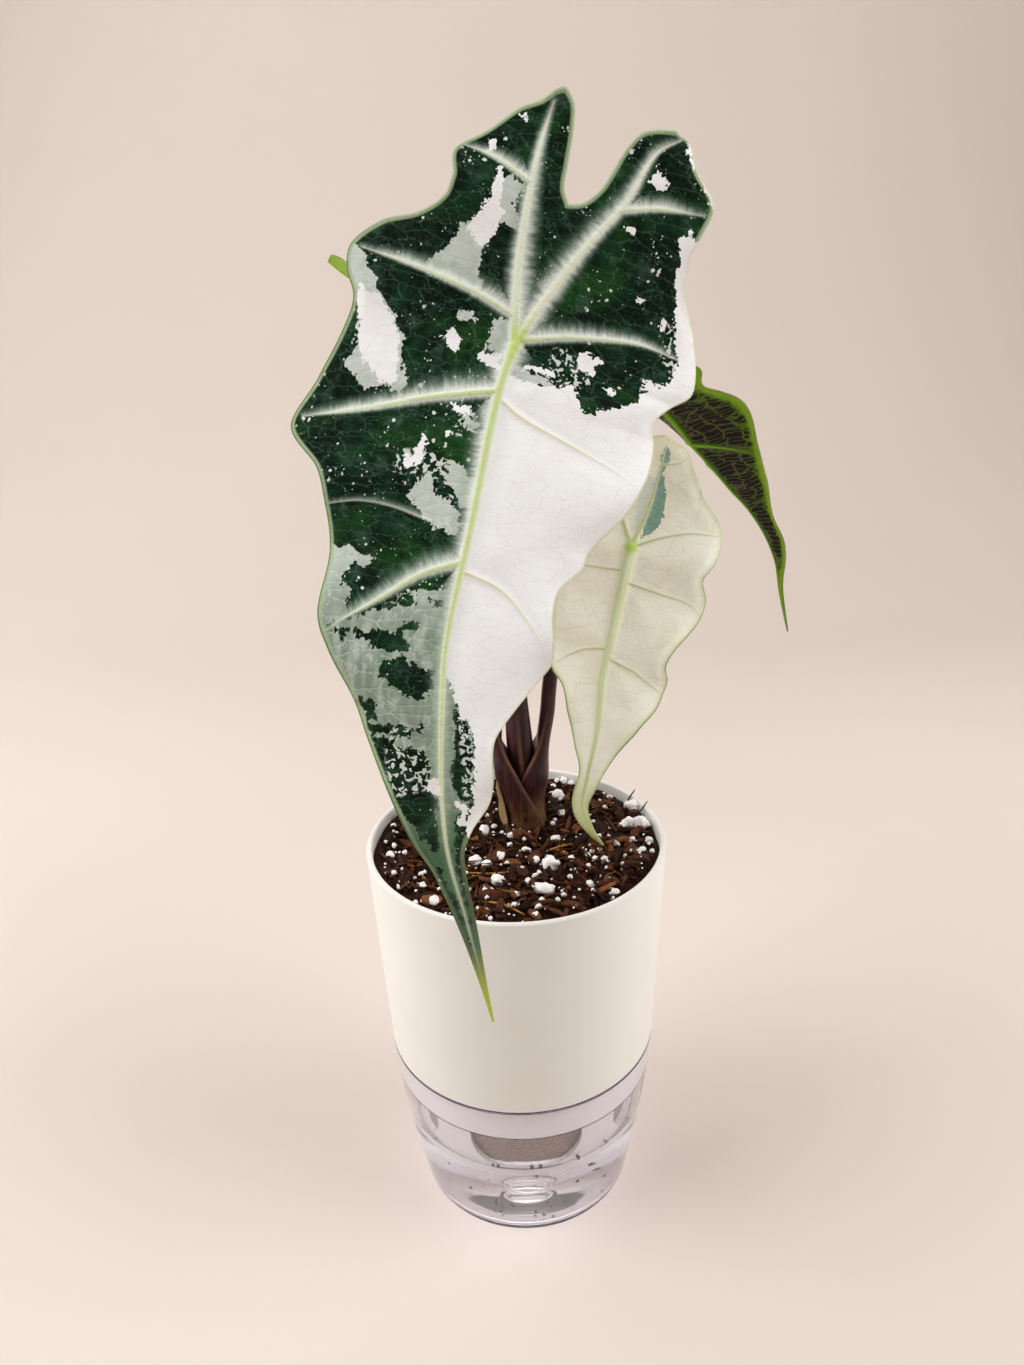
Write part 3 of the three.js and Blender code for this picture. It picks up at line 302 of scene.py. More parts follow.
CREAM_PATCHES = {
    "grey": [
        [
            (-36, 2.5), (-35, 4.4), (-31.5, 5.6), (-29, 5), (-27, 4.4), (-24, 5.8), (-20, 7.4), (-15, 8),
            (-11, 8.2), (-8, 7.2), (-5.5, 5), (-4, 2.8), (-10, 2.4), (-25, 3),
        ],
    ],
    "mist": [[(-24, -2), (-24, 2.6), (-6, 2), (-6, -0.6), (-14, -1.6)]],
}

# Stalks: path rows are [x, y, z, half width]. The older two start as sheaths wrapped round the youngest:
# wrap rows are [z, first angle, last angle, inner radius, edge thickness, middle thickness], and blend
# gives the heights between which a sheath becomes round.
MARBLED_STALK = {
    "leaf": MARBLED_LEAF, "faces": 0, "wrap": None, "blend": None,
    "path": [
        (5.4, 19, 142, 4.2), (5.2, 19, 150, 4.5), (3.4, 18.5, 172, 5), (2.4, 17, 188, 4.8),
        (1.9, 15.5, 205, 3.9), (1.6, 13.5, 235, 3.1), (2.6, 10.5, 275, 2.8), (4.4, 8, 305, 2.7),
        (5.4, 4.4, 320, 2.6),
    ],
}
CREAM_STALK = {
    "leaf": CREAM_LEAF, "faces": 0, "blend": (172, 198),
    "path": [
        (12, 19.3, 142, 2.6), (12, 19.3, 172, 2.9), (13.2, 20, 192, 2.8), (14.6, 21.2, 207, 2.7),
        (18.5, 23, 227, 2.5), (27, 25, 243, 2.3), (37, 25, 252, 2.2),
    ],
    "wrap": [
        (142, -178, 150, 4.9, 0.8, 1.9), (150, -172, 140, 5.1, 0.8, 1.9), (160, -140, 110, 5.4, 0.8, 1.9),
        (170, -98, 95, 5.6, 0.9, 4.2), (182, -42, 60, 5.8, 1, 4.6), (192, -25, 40, 6.2, 1.2, 4.6),
    ],
}
DARK_STALK = {
    "leaf": DARK_LEAF, "faces": math.pi, "blend": (172, 198),
    "path": [
        (-4.5, 19.6, 142, 2.8), (-5, 19.8, 172, 3), (-6, 20.5, 192, 2.9), (-7.5, 23.5, 225, 2.6),
        (-8.5, 29, 262, 2.4), (-8, 35, 293, 2.3), (-6, 38.8, 311, 2.3),
    ],
    "wrap": [
        (142, 38, 322, 7.5, 0.8, 1.9), (150, 44, 318, 7.6, 0.8, 1.9), (160, 68, 292, 8, 0.8, 2.2),
        (170, 96, 264, 8.1, 0.9, 2.6), (182, 135, 236, 8.1, 1, 3.4), (192, 150, 220, 8, 1.2, 4.4),
    ],
}
YOUNGEST_LINE = [(z, x, y) for x, y, z, _ in MARBLED_STALK["path"]]
STEM = (5.4, 19)

# The largest perlite grains on the mix, as [x, y, half length, half width] in millimetres.
LARGE_GRAINS = [
    (17.2, 34.3, 3.2, 2.6), (47.5, 9.7, 3.4, 2.9), (43.6, 10.4, 2.6, 2.4), (49.2, -1, 1.5, 1.7),
    (45.1, -9.9, 1.6, 1.6), (11.9, -17.7, 3.2, 3.1), (8.8, -31, 3.7, 2.3), (-6.6, -25.8, 2.5, 2.3),
    (-11.9, 8.8, 1.8, 2.5), (-1.6, 4.1, 1.8, 1.5), (18, 17.7, 1.4, 2), (32.2, 8.6, 1.7, 1.3),
    (14.8, 2, 1.9, 1.5), (45.6, 22.4, 3, 2.4), (20.5, 46.8, 1.3, 1.5), (23.3, 44.4, 1.3, 1),
    (17.7, 46.3, 1, 1), (-10.7, -15.7, 1.6, 1.3), (-5.9, -10.3, 1.6, 2), (6.9, -13.1, 1.3, 1.3),
    (32.7, -35, 1.9, 1), (5.8, -46.7, 1.3, 1.3), (-11.2, -30.8, 1.1, 1.1), (-0.3, -35.5, 1.5, 1),
    (-1, -40.5, 1.5, 0.9), (41.8, -8.8, 1, 1.3), (31.3, -13.9, 1.2, 1.3), (28, -12.5, 1.1, 1.3),
    (18.4, -24.3, 0.9, 0.9), (34.5, 1.2, 0.9, 0.9), (29.6, 12.7, 1, 1), (40.8, 8.9, 1.5, 1.5),
    (-2.4, -2.7, 1.1, 0.9), (35.2, 22.6, 1, 1), (31.8, 24.2, 1.4, 1), (-46.8, 14.6, 1, 1),
    (-48.6, 3.1, 0.8, 1), (-45.4, 1.3, 0.9, 1.1), (-45.4, -5.9, 0.9, 1.1), (-34, -18.4, 1, 0.9),
    (-40.6, -16.5, 0.7, 0.7), (-38.5, -21.6, 1, 0.9), (-33, -27.2, 1.4, 1), (-28.2, -37.6, 1.7, 1.6),
    (-32.2, -35.9, 0.9, 0.7), (-15.1, -12.8, 2.4, 2.2), (-14.2, -3.7, 0.8, 0.7), (-41.3, -26.7, 0.7, 0.9),
]
# Straws and pale rootlets that lie on the mix, as points in millimetres: x, y and height above the mix.
STRAWS = [
    [(-18, -20, 1.2), (-9.5, -22, 1.8), (1, -20, 1.4)],
    [(9.5, -8.8, 0.8), (16, -5.1, 1.9), (22, -2, 1.2)],
    [(-14, -36.5, 0.8), (-5, -41, 1.5), (2, -45.5, 1)],
]
TWIGS = [
    [(46.5, 15, 0.5), (49.5, 18, 3), (51.5, 19.5, 5.4)],
    [(44, 27, 0.5), (45.5, 26.5, 4), (47.5, 26.5, 7)],
]
# Specks of mix that float at the water's edge, as angles in degrees round the cup, and those that lie low
# in it, as [angle, height in millimetres].
FLOATING_SPECKS = [-138, -106, -103.5, -88, -84, -66, -50, -32, 12, 64, 120, 171]
SUNKEN_SPECKS = [(-98, 17), (-79, 15), (-105, 12), (-86.5, 13), (-120, 22), (-65, 26), (-47, 19),
                 (-131, 31), (20, 14)]


def linear(colour):
    """A colour given as sRGB hex digits, as the linear numbers that shaders take."""
    parts = [int(colour[i : i + 2], 16) / 255 for i in (0, 2, 4)]
    return tuple(c / 12.92 if c <= 0.04045 else ((c + 0.055) / 1.055) ** 2.4 for c in parts) + (1.0,)


# What nodes of these kinds share here.
USUAL = {"Mix": {"data_type": "RGBA"}, "MapRange": {"interpolation_type": "SMOOTHSTEP"}}


def plug(node, inputs):
    """Gives a node's inputs, by name or number, their values, or links them from other nodes. A colour
    may come as sRGB hex digits."""
    for name, value in inputs.items():
        if isinstance(value, bpy.types.NodeSocket):
            node.id_data.links.new(value, node.inputs[name])
        else:
            node.inputs[name].default_value = linear(value) if isinstance(value, str) else value


def add_node(tree, kind, inputs=(), output=0, **settings):
    """Adds a node with its settings and links, and returns one of its outputs by name or number. Inputs
    that come as a list go to those in use, in order."""
    node = tree.nodes.new("ShaderNode" + kind)
    for name, value in (USUAL.get(kind, {}) | settings).items():
        setattr(node, name, value)
    if not isinstance(inputs, dict):
        inputs = dict(zip([n for n, socket in enumerate(node.inputs) if socket.enabled], inputs))
    plug(node, inputs)
    if isinstance(output, str):
        return node.outputs[output]
    return [socket for socket in node.outputs if socket.enabled][output]


def new_material(name):
    """An empty material, the way to add nodes to it, and its Principled shader."""
    material = bpy.data.materials.new(name)
    material.use_nodes = True
    return material, partial(add_node, material.node_tree), material.node_tree.nodes["Principled BSDF"]


def mesh_piece(name, vertices, faces, material, slot, replaced=(), numbers=None, sharp=None):
    """A piece from points in metres that rides on the body, with its material and points' numbers."""
    mesh = bpy.data.meshes.new(name)
    mesh.from_pydata([tuple(v) for v in vertices], [], faces)
    mesh.validate()
    for key, values in (numbers or {}).items():
        values = np.asarray(values, np.float32)
        if values.ndim == 2:
            mesh.attributes.new(key, "FLOAT_VECTOR", "POINT").data.foreach_set("vector", values.ravel())
        else:
            mesh.attributes.new(key, "FLOAT", "POINT").data.foreach_set("value", values)
    mesh.materials.append(material)
    mesh.shade_smooth()
    if sharp is not None:
        mesh.set_sharp_from_angle(angle=math.radians(sharp))
    piece = bpy.data.objects.new(name, mesh)
    bpy.context.scene.collection.objects.link(piece)
    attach(piece, "root")
    if replaced:
        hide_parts(*replaced)
    return piece


def smooth_line(points, count):
    """Evenly spaced points on a curve through the given points, in any number of dimensions."""
    p = np.asarray(points, float)
    p = np.vstack([2 * p[0] - p[1], p, 2 * p[-1] - p[-2]])
    dense = [p[1:2]]
    u = np.linspace(0, 1, 31)[1:, None]
    for a, b, c, d in zip(p, p[1:], p[2:], p[3:]):
        ab, bc, cd = (max(np.linalg.norm(q - r), 1e-6) ** 0.5 for q, r in ((b, a), (c, b), (d, c)))
        leave = ((b - a) / ab - (c - a) / (ab + bc) + (c - b) / bc) * bc
        arrive = ((c - b) / bc - (d - b) / (bc + cd) + (d - c) / cd) * bc
        rise = 3 * u**2 - 2 * u**3
        dense.append((1 - rise) * b + rise * c + (u**3 - 2 * u**2 + u) * leave + (u**3 - u**2) * arrive)
    dense = np.vstack(dense)
    lengths = np.r_[0, np.cumsum(np.linalg.norm(np.diff(dense, axis=0), axis=1))]
    spots = np.linspace(0, lengths[-1], count + 1)
    return np.column_stack([np.interp(spots, lengths, column) for column in dense.T])


def stepped_line(points, step):
    """Points on a curve, about one step apart."""
    length = np.linalg.norm(np.diff(np.asarray(points, float), axis=0), axis=1).sum()
    return smooth_line(points, max(2, round(length / step)))


def along(rows, places):
    """Values along rows of [place, value, value, ...], joined by a smooth curve."""
    rows = np.asarray(rows, float)
    x, values = rows[:, 0], rows[:, 1:]
    places = np.atleast_1d(np.asarray(places, float))
    before = np.maximum(np.arange(len(x)) - 1, 0)
    after = np.minimum(np.arange(len(x)) + 1, len(x) - 1)
    slopes = (values[after] - values[before]) / (x[after] - x[before])[:, None]
    i = np.clip(np.searchsorted(x, places) - 1, 0, len(x) - 2)
    span = (x[i + 1] - x[i])[:, None]
    u = np.clip((places - x[i])[:, None] / span, 0, 1)
    rise = 3 * u**2 - 2 * u**3
    lean = (u**3 - 2 * u**2 + u) * slopes[i] + (u**3 - u**2) * slopes[i + 1]
    return (1 - rise) * values[i] + rise * values[i + 1] + lean * span


def unit(vectors):
    return vectors / np.linalg.norm(vectors, axis=-1, keepdims=True)


def smoothstep(low, high, x):
    share = np.clip((np.asarray(x, float) - low) / (high - low), 0, 1)
    return share * share * (3 - 2 * share)


def leaf_frame(leaf, s):
    """Centre, tangent, across and upper-side directions of a leaf at places s."""
    s = np.atleast_1d(np.asarray(s, float))
    tangent = unit(along(leaf["spine"], s + 0.5) - along(leaf["spine"], s - 0.5))
    level = np.array(leaf["across"], float)
    level = unit(level - (tangent @ level)[:, None] * tangent)
    roll = math.radians(leaf["roll"])
    across = level * math.cos(roll) + np.cross(tangent, level) * math.sin(roll)
    return along(leaf["spine"], s), tangent, across, np.cross(tangent, across)


def on_leaf(leaf, s, t, edge, lift):
    """Points of a leaf at (s, t), raised along its normal. edge is 0 at the midrib and 1 at the margin."""
    centre, _, across, up = leaf_frame(leaf, s)
    fold = math.radians(leaf["fold"])
    soft = np.hypot(t, 2.5)
    ripple = leaf["ripple"]
    phase = np.where(t < 0, ripple["left"], ripple["right"])
    wave = ripple["height"] * edge**3 * np.sin(TAU * s / ripple["length"] + phase)
    wave = wave * smoothstep(0, 14, np.abs(t))
    rise = (soft - 2.5) * math.sin(fold) + leaf["bend"] * t * t + wave
    slope = t / soft * math.sin(fold) + 2 * leaf["bend"] * t
    normal = unit(up * math.cos(fold) - across * slope[:, None])
    return centre + across * (t * math.cos(fold))[:, None] + up * rise[:, None] + normal * lift[:, None]


def nearest_on(line, points):
    """Distance from each point to a line of points, and how far along the line the nearest place is."""
    best = np.full(len(points), 1e9)
    place = np.zeros(len(points))
    reached = 0.0
    for a, b in zip(line, line[1:]):
        step = b - a
        length = np.linalg.norm(step)
        share = np.clip(((points - a) @ step) / max(length**2, 1e-12), 0, 1)
        distance = np.linalg.norm(points - a - share[:, None] * step, axis=1)
        closer = distance < best
        best[closer] = distance[closer]
        place[closer] = (reached + share * length)[closer]
        reached += length
    return best, place / max(reached, 1e-9), reached


def depth_in(outlines, points):
    """How far each point lies inside the nearest of some outlines, in millimetres, negative outside."""
    deepest = np.full(len(points), -20.0)
    for outline in outlines:
        ring = np.array(outline + outline[:1], float)
        low, high = ring.min(0) - 6, ring.max(0) + 6
        close = np.all((points > low) & (points < high), axis=1)
        near = points[close]
        distance = nearest_on(ring, near)[0]
        inside = np.zeros(len(near), bool)
        for (s1, t1), (s2, t2) in zip(ring, ring[1:]):
            crosses = (t1 > near[:, 1]) != (t2 > near[:, 1])
            where = s1 + (near[:, 1] - t1) / (t2 - t1 if t2 != t1 else 1e-9) * (s2 - s1)
            inside ^= crosses & (near[:, 0] < where)
        deepest[close] = np.maximum(deepest[close], np.where(inside, distance, -distance))
    return deepest


def leaf_sheet(leaf, cell):
    """A blade's flat sheet: points in (s, t) that follow its veins, their triangles and fields."""
    sides = [leaf["left"], leaf["right"]]
    outer = [np.vstack([stepped_line(side["lobe_out"], cell)[:-1], stepped_line(side["margin"], cell)])
             for side in sides]
    lobes = [stepped_line(side["lobe_in"], cell) for side in sides]
    loop = np.vstack([lobes[0][::-1][:-1], outer[0], outer[1][::-1], lobes[1][1:-1]])
    veins = [(width, stepped_line(path, cell)) for width, path in leaf["veins"]]
    middle = np.array([leaf["sinus"], (0, 0), (leaf["spine"][-1][0], 0)], float)

    guides = []
    for width, line in veins:
        ahead = np.gradient(line, axis=0)
        ahead /= np.maximum(np.linalg.norm(ahead, axis=1, keepdims=True), 1e-9)
        beside = np.column_stack([-ahead[:, 1], ahead[:, 0]])
        taper = np.linspace(1, 0.4, len(line))[:, None]
        guides += [line + beside * taper * width * offset for offset in (-0.5, 0, 0.5)]
    guides = np.vstack(guides)
    low, high = loop.min(0), loop.max(0)
    rows = np.arange(low[0], high[0], cell * 0.866)
    columns = np.arange(low[1], high[1], cell)
    grid = np.array([(s, t + (cell / 2) * (i % 2)) for i, s in enumerate(rows) for t in columns])

    def clear_of(points, lines, gap):
        """Which points lie further than the gap from every point of the lines, by cells of the gap's
        size."""
        taken = {}
        for q in lines:
            taken.setdefault((int(q[0] // gap), int(q[1] // gap)), []).append(q)
        keep = np.ones(len(points), bool)
        for n, (s, t) in enumerate(points):
            i, j = int(s // gap), int(t // gap)
            for key in ((i + a, j + b) for a in (-1, 0, 1) for b in (-1, 0, 1)):
                if any((s - q[0]) ** 2 + (t - q[1]) ** 2 < gap * gap for q in taken.get(key, ())):
                    keep[n] = False
                    break
        return keep

    guides = guides[depth_in([loop.tolist()], guides) > cell * 0.5]
    grid = grid[depth_in([loop.tolist()], grid) > cell * 0.5]
    grid = grid[clear_of(grid, guides, cell * 0.6)]
    points = [Vector(p) for p in np.vstack([loop, guides, grid])]
    found, _, triangles, *_ = geometry.delaunay_2d_cdt(points, [], [list(range(len(loop)))], 1, cell * 0.05)
    points = np.array([tuple(p) for p in found])

    fields = {"margin": nearest_on(np.vstack([loop, loop[:1]]), points)[0]}
    to_vein = np.full(len(points), 50.0)
    streak, girth, lobeward, ridge = (np.zeros(len(points)) for _ in range(4))
    for n, (width, line) in enumerate(veins):
        distance, place, length = nearest_on(line, points)
        local = width * (1 - 0.93 * place**1.3)
        closer = distance - local / 2 < to_vein
        to_vein[closer] = (distance - local / 2)[closer]
        streak[closer] = (place * length + 61 * n)[closer]
        girth[closer] = local[closer]
        reached = np.r_[0, np.cumsum(np.linalg.norm(np.diff(line, axis=0), axis=1))] / max(length, 1e-9)
        lean = (np.interp(place, reached, line[:, 0]) - points[:, 0]) / np.maximum(distance, 0.3)
        lobeward[closer] = lean[closer]
        ridge = np.maximum(ridge, local * np.exp(-((distance / (0.55 * local + 0.15)) ** 2)))
    fields.update({"vein": to_vein, "streak": streak, "girth": girth, "lobeward": lobeward})
    half = (points[:, 1] >= 0).astype(int)
    inner = [np.vstack([lobes[k], middle[1:]]) for k in (0, 1)]
    from_inner = np.where(half == 0, *(nearest_on(inner[k], points)[0] for k in (0, 1)))
    from_outer = np.where(half == 0, *(nearest_on(outer[k], points)[0] for k in (0, 1)))
    edge = from_inner / np.maximum(from_inner + from_outer, 1e-6)
    return points, triangles, fields, ridge, edge


def leaf_blade(name, leaf, settings, patches, material, slot, node):
    """A fine closed blade with raised veins, as thin at its margin as a real one."""
    cell = settings.leaf_cell / MM
    points, triangles, fields, ridge, edge = leaf_sheet(leaf, cell)
    s, t = points[:, 0], points[:, 1]
    puckers = np.array([noise.noise((a / 9, b / 9, 3.1)) for a, b in points])
    pillow = settings.pillow / MM * (1 - np.exp(-((np.maximum(fields["vein"], 0) / 7) ** 2)))
    body = (pillow + 0.25 * puckers) * smoothstep(0, 5, fields["margin"])
    half_thickness = settings.blade_thickness / MM / 2 * (0.45 + 0.55 * smoothstep(0, 4, fields["margin"]))
    kept = smoothstep(0, 2, fields["margin"])
    top = on_leaf(leaf, s, t, edge, body + half_thickness + settings.vein_relief * ridge * kept)
    under = on_leaf(leaf, s, t, edge, body - half_thickness - 1.5 * settings.vein_relief * ridge * kept)

    count = len(points)
    faces = []
    edges = set()
    for a, b, c in triangles:
        (sa, ta), (sb, tb), (sc, tc) = points[[a, b, c]]
        if (sb - sa) * (tc - ta) - (tb - ta) * (sc - sa) < 0:
            b, c = c, b
        faces += [(a, b, c), (count + a, count + c, count + b)]
        edges |= {(a, b), (b, c), (c, a)}
    faces += [(q, p, count + p, count + q) for p, q in edges if (q, p) not in edges]
    fields.update({key: depth_in(outlines, points) for key, outlines in patches.items()})
    fields.update({"down": s, "flat": np.column_stack([s, t, 0 * s])})
    numbers = {key: np.concatenate([values, values]) for key, values in fields.items()}
    numbers["underside"] = np.r_[np.zeros(count), np.ones(count)]
    return mesh_piece(name, np.vstack([top, under]) * MM, faces, material, slot, [node], numbers)


def marbled_blade_material(settings):
    """Living leaf with a waxy skin, part of it without chlorophyll: deep green cells, white ones, and
    grey-green where only the upper layers are white. Its veins stay pale, with a feathered halo."""
    material, add, shader = new_material("Variegated leaf, waxy cuticle")
    names = ("down", "margin", "vein", "girth", "streak", "lobeward", "white", "pale", "green", "lace",
             "underside")
    numbers = [add("Attribute", output="Fac", attribute_name=name) for name in names]
    down, margin, vein, girth, streak, lobeward, *depths, lace, underside = numbers
    flat = add("Attribute", output="Vector", attribute_name="flat")

    # Edges of the patches: lobes 3 mm wide with nibbles of 1 mm.
    swirl = add("TexNoise", [flat, 1 / 1.6, 1], output="Color")
    shifted = add("VectorMath", [flat, swirl], operation="ADD")
    jag = add("Math", [add("TexNoise", [flat, 1 / 3.2, 2, 0.5]), 5.2, -2.6], operation="MULTIPLY_ADD")
    nibble = add("Math", [add("TexNoise", [shifted, 1 / 0.9, 1, 0.5]), 2.8, -1.4], operation="MULTIPLY_ADD")
    jag = add("Math", [jag, nibble], operation="ADD")
    shares = []
    for depth in depths:
        shares.append(add("MapRange", [add("Math", [jag, depth], operation="ADD"), -0.08, 0.1, 0, 1]))
    white_share, pale_share, green_share = shares

    # Deep green with lighter clouds 10 to 25 mm across, grey-green patches about 8 mm across that are
    # painted sheen of the waxy skin, darker patches, and its finest veins as a faint net.
    clouds = add("MapRange", [add("TexNoise", [flat, 1 / 11, 2]), 0.42, 0.66, 0, 1])
    green = add("Mix", [clouds, settings.leaf_green, "13311d"])
    for place, cell, detail, full, most, colour in (
        (shifted, 26, 2, 0.7, 0.6, "1f4d1b"), (flat, 8, 3, 0.78, 0.4, "4b6a58"),
        (flat, 5, 2, 0.74, 0.8, "06130b"),
    ):
        share = add("MapRange", [add("TexNoise", [place, 1 / cell, detail]), 0.52, full, 0, most])
        green = add("Mix", [share, green, colour])
    stretched = add("VectorMath", [shifted, (0.3, 0.1, 1)], operation="MULTIPLY")
    net = add("TexVoronoi", {"Vector": stretched, "Scale": 1.0}, feature="DISTANCE_TO_EDGE")
    fine_net = add("TexVoronoi", {"Vector": shifted, "Scale": 1 / 2.1}, feature="DISTANCE_TO_EDGE")
    green = add("Mix", [add("MapRange", [net, 0, 0.05, 0.26, 0]), green, "5c8468"])
    green = add("Mix", [add("MapRange", [fine_net, 0, 0.08, 0.07, 0]), green, "5c8468"])

    # White specks up to 1.5 mm across, crowded in places, with dots of half a millimetre between.
    crowd = add("MapRange", [add("TexNoise", [flat, 1 / 9, 2]), 0.42, 0.68, 0.0, 0.32])
    for cell, least in ((1.9, 0.8), (0.95, 0.84)):
        spots = {"Vector": shifted, "Scale": 1 / cell}
        draw = add("SeparateColor", [add("TexVoronoi", spots, output="Color")], output=1)
        radius = add("Math", [draw, add("Math", [least, crowd], operation="SUBTRACT")],
                     operation="SUBTRACT")
        radius = add("Math", [radius, 0.75], operation="MULTIPLY")
        inside = add("Math", [radius, add("TexVoronoi", spots, output="Distance")], operation="SUBTRACT")
        green = add("Mix", [add("MapRange", [inside, -0.05, 0.05, 0, 0.95]), green, "dbe3da"])

    # White worms under a millimetre wide, where the white eats into the green.
    worm = add("MapRange", [add("TexNoise", [flat, 1 / 1.7, 1, 0.5, 2, 0.8]), 0.54, 0.57, 0, 1])
    laced = add("Math", [worm, add("MapRange", [lace, -0.5, 0.8, 0, 0.95])], operation="MULTIPLY")
    green = add("Mix", [laced, green, "d3ddd2"])

    low_down = add("MapRange", [down, 62, 96, 0, 1])
    pale = add("Mix", [low_down, "c8d1c9", "859685"])
    streaks = add("VectorMath", [flat, (0.12, 0.32, 1)], operation="MULTIPLY")
    streaked = add("MapRange", [add("TexNoise", [streaks, 1.0, 3]), 0.4, 0.72, 0, 0.8])
    pale = add("Mix", [streaked, pale, "b9c8bd"])
    pale = add("Mix", [add("MapRange", [net, 0, 0.05, 0.4, 0]), pale, "e0e7df"])
    white = add("Mix", [add("TexNoise", [flat, 1 / 14, 3]), "fbfeff", "f1f2f2"])
    white = add("Mix", [add("MapRange", [net, 0, 0.035, 0.26, 0]), white, "d0c6c2"])
    white = add("Mix", [add("MapRange", [fine_net, 0, 0.05, 0.05, 0]), white, "d0c6c2"])

    # Towards the tip both turn to a middle green, darker along the margin.
    tip_colour = add("Mix", [add("MapRange", [margin, 0.3, 2.6, 0, 1]), "1a3521", "4c7050"])
    tip = add("Math", [add("TexNoise", [flat, 1 / 3, 3]), 12.0, down], operation="MULTIPLY_ADD")
    pale = add("Mix", [add("MapRange", [tip, 136, 160, 0, 1]), pale, tip_colour])

    body = add("Mix", [pale_share, green, pale])
    body = add("Mix", [green_share, body, green])
    body = add("Mix", [white_share, body, white])

    # The veins' halo: feathers about a millimetre wide, longest beside wide veins and lobewards.
    across_vein = add("Math", [vein, 0.25], operation="MULTIPLY")
    feather_at = add("CombineXYZ", [streak, across_vein, 0.0])
    feathers = add("Math", [add("TexNoise", [feather_at, 1 / 1.5, 4, 0.7]), 1.2, -0.6],
                   operation="MULTIPLY_ADD")
    reach = add("Math", [girth, 1.0, 0.7], operation="MULTIPLY_ADD")
    reach = add("Math", [reach, add("MapRange", [lobeward, -0.8, 0.8, 0.55, 1.8])], operation="MULTIPLY")
    from_vein = add("Math", [add("Math", [vein, reach], operation="DIVIDE"), feathers], operation="ADD")
    halo = add("MapRange", [from_vein, -0.25, 1.5, 1, 0])
    halo = add("Math", [halo, add("MapRange", [white_share, 0, 1, 0.95, 0.12])], operation="MULTIPLY")
    halo = add("Math", [halo, add("MapRange", [down, 105, 160, 1, 0.15])], operation="MULTIPLY")
    halo = add("Math", [halo, add("MapRange", [girth, 0.2, 0.8, 0.35, 1])], operation="MULTIPLY")
    near = add("Mix", [low_down, "edf4ec", "bccbb8"])
    halo_colour = add("Mix", [add("MapRange", [from_vein, -0.1, 1.1, 0, 1]), near, "7d9c87"])
    body = add("Mix", [halo, body, halo_colour])

    # The veins themselves: lime, nearly white in the lobes and on the side that faces them. On their far
    # side they are darker: painted shade under the raised vein, on the green and on the white alike.
    lime = add("Mix", [add("MapRange", [vein, -1.2, -0.1, 0, 1]), settings.vein_green, "e4edcd"])
    core = add("Mix", [add("MapRange", [down, -16, 4, 0, 1]), "eaf3dc", lime])
    joint = add("VectorMath", [flat], operation="LENGTH")
    core = add("Mix", [add("MapRange", [joint, 1.5, 8, 0.8, 0]), core, "cbe37f"])
    core = add("Mix", [add("MapRange", [lobeward, 0.1, 0.75, 0, 0.85]), core, "f4f8ea"])
    # Painted shade on the far side of the raised vein.
    core = add("Mix", [add("MapRange", [lobeward, -0.75, -0.1, 0.55, 0]), core, "9db36a"])
    in_white = add("MapRange", [girth, 1.55, 1.9, 1, 0])
    in_white = add("Math", [in_white, white_share], operation="MULTIPLY")
    # On the white half the veins are cream, with painted shade on their tip side.
    shaded = add("MapRange", [lobeward, -0.5, 0.2, 0, 1])
    core = add("Mix", [in_white, core, add("Mix", [shaded, "ddd9b8", "fcfbf0"])])
    strength = add("MapRange", [girth, 0.15, 0.7, 0.35, 1])
    strength = add("Math", [strength, add("MapRange", [down, 140, 180, 1, 0.6])], operation="MULTIPLY")
    core_share = add("Math", [add("MapRange", [vein, -0.45, 0.4, 1, 0]), strength], operation="MULTIPLY")
    body = add("Mix", [core_share, body, core])

    # A firm rim: a dull line at the very edge and a pale band inside it. Along the lobes the edge line is
    # pale: a painted highlight on the rim.
    on_green = add("MapRange", [white_share, 0, 1, 1, 0])
    band = add("Math", [add("MapRange", [margin, 0.9, 1.7, 0.85, 0]), on_green], operation="MULTIPLY")
    band = add("Math", [band, add("MapRange", [down, 130, 165, 1, 0.3])], operation="MULTIPLY")
    body = add("Mix", [band, body, "a3b890"])
    # Pale along the lobes as a painted highlight on the rim.
    line = add("Mix", [add("MapRange", [down, -30, -4, 0, 1]), "c5d2b4", "5d7748"])
    line = add("Mix", [on_green, "d9dab8", line])
    body = add("Mix", [add("MapRange", [margin, 0.3, 0.6, 0.85, 0]), body, line])
    body = add("Mix", [add("MapRange", [down, 184, 206, 0, 1]), body, "b6c654"])

    # Below, the green cells are backed with purple and the white ones with pink.
    light = add("RGBToBW", [body])
    dull = add("Mix", [add("MapRange", [light, 0.05, 0.5, 0, 1]), "2f2430", "d8cbc0"])
    body = add("Mix", [underside, body, dull])

    wax = add("MapRange", [add("TexNoise", [flat, 1 / 5, 3]), 0.3, 0.7, 0.3, 0.44])
    quilt = add("Math", [add("MapRange", [net, 0, 0.2, 0, 1]), on_green], operation="MULTIPLY")
    relief = add("Math", [quilt, 0.8, add("TexNoise", [flat, 1 / 0.8, 3])], operation="MULTIPLY_ADD")
    normal = add("Bump", {"Height": relief, "Distance": 0.00016, "Strength": 0.8})
    plug(shader,
         {"Base Color": body, "Roughness": wax, "IOR": 1.45, "Specular IOR Level": 0.16, "Normal": normal})
    return material


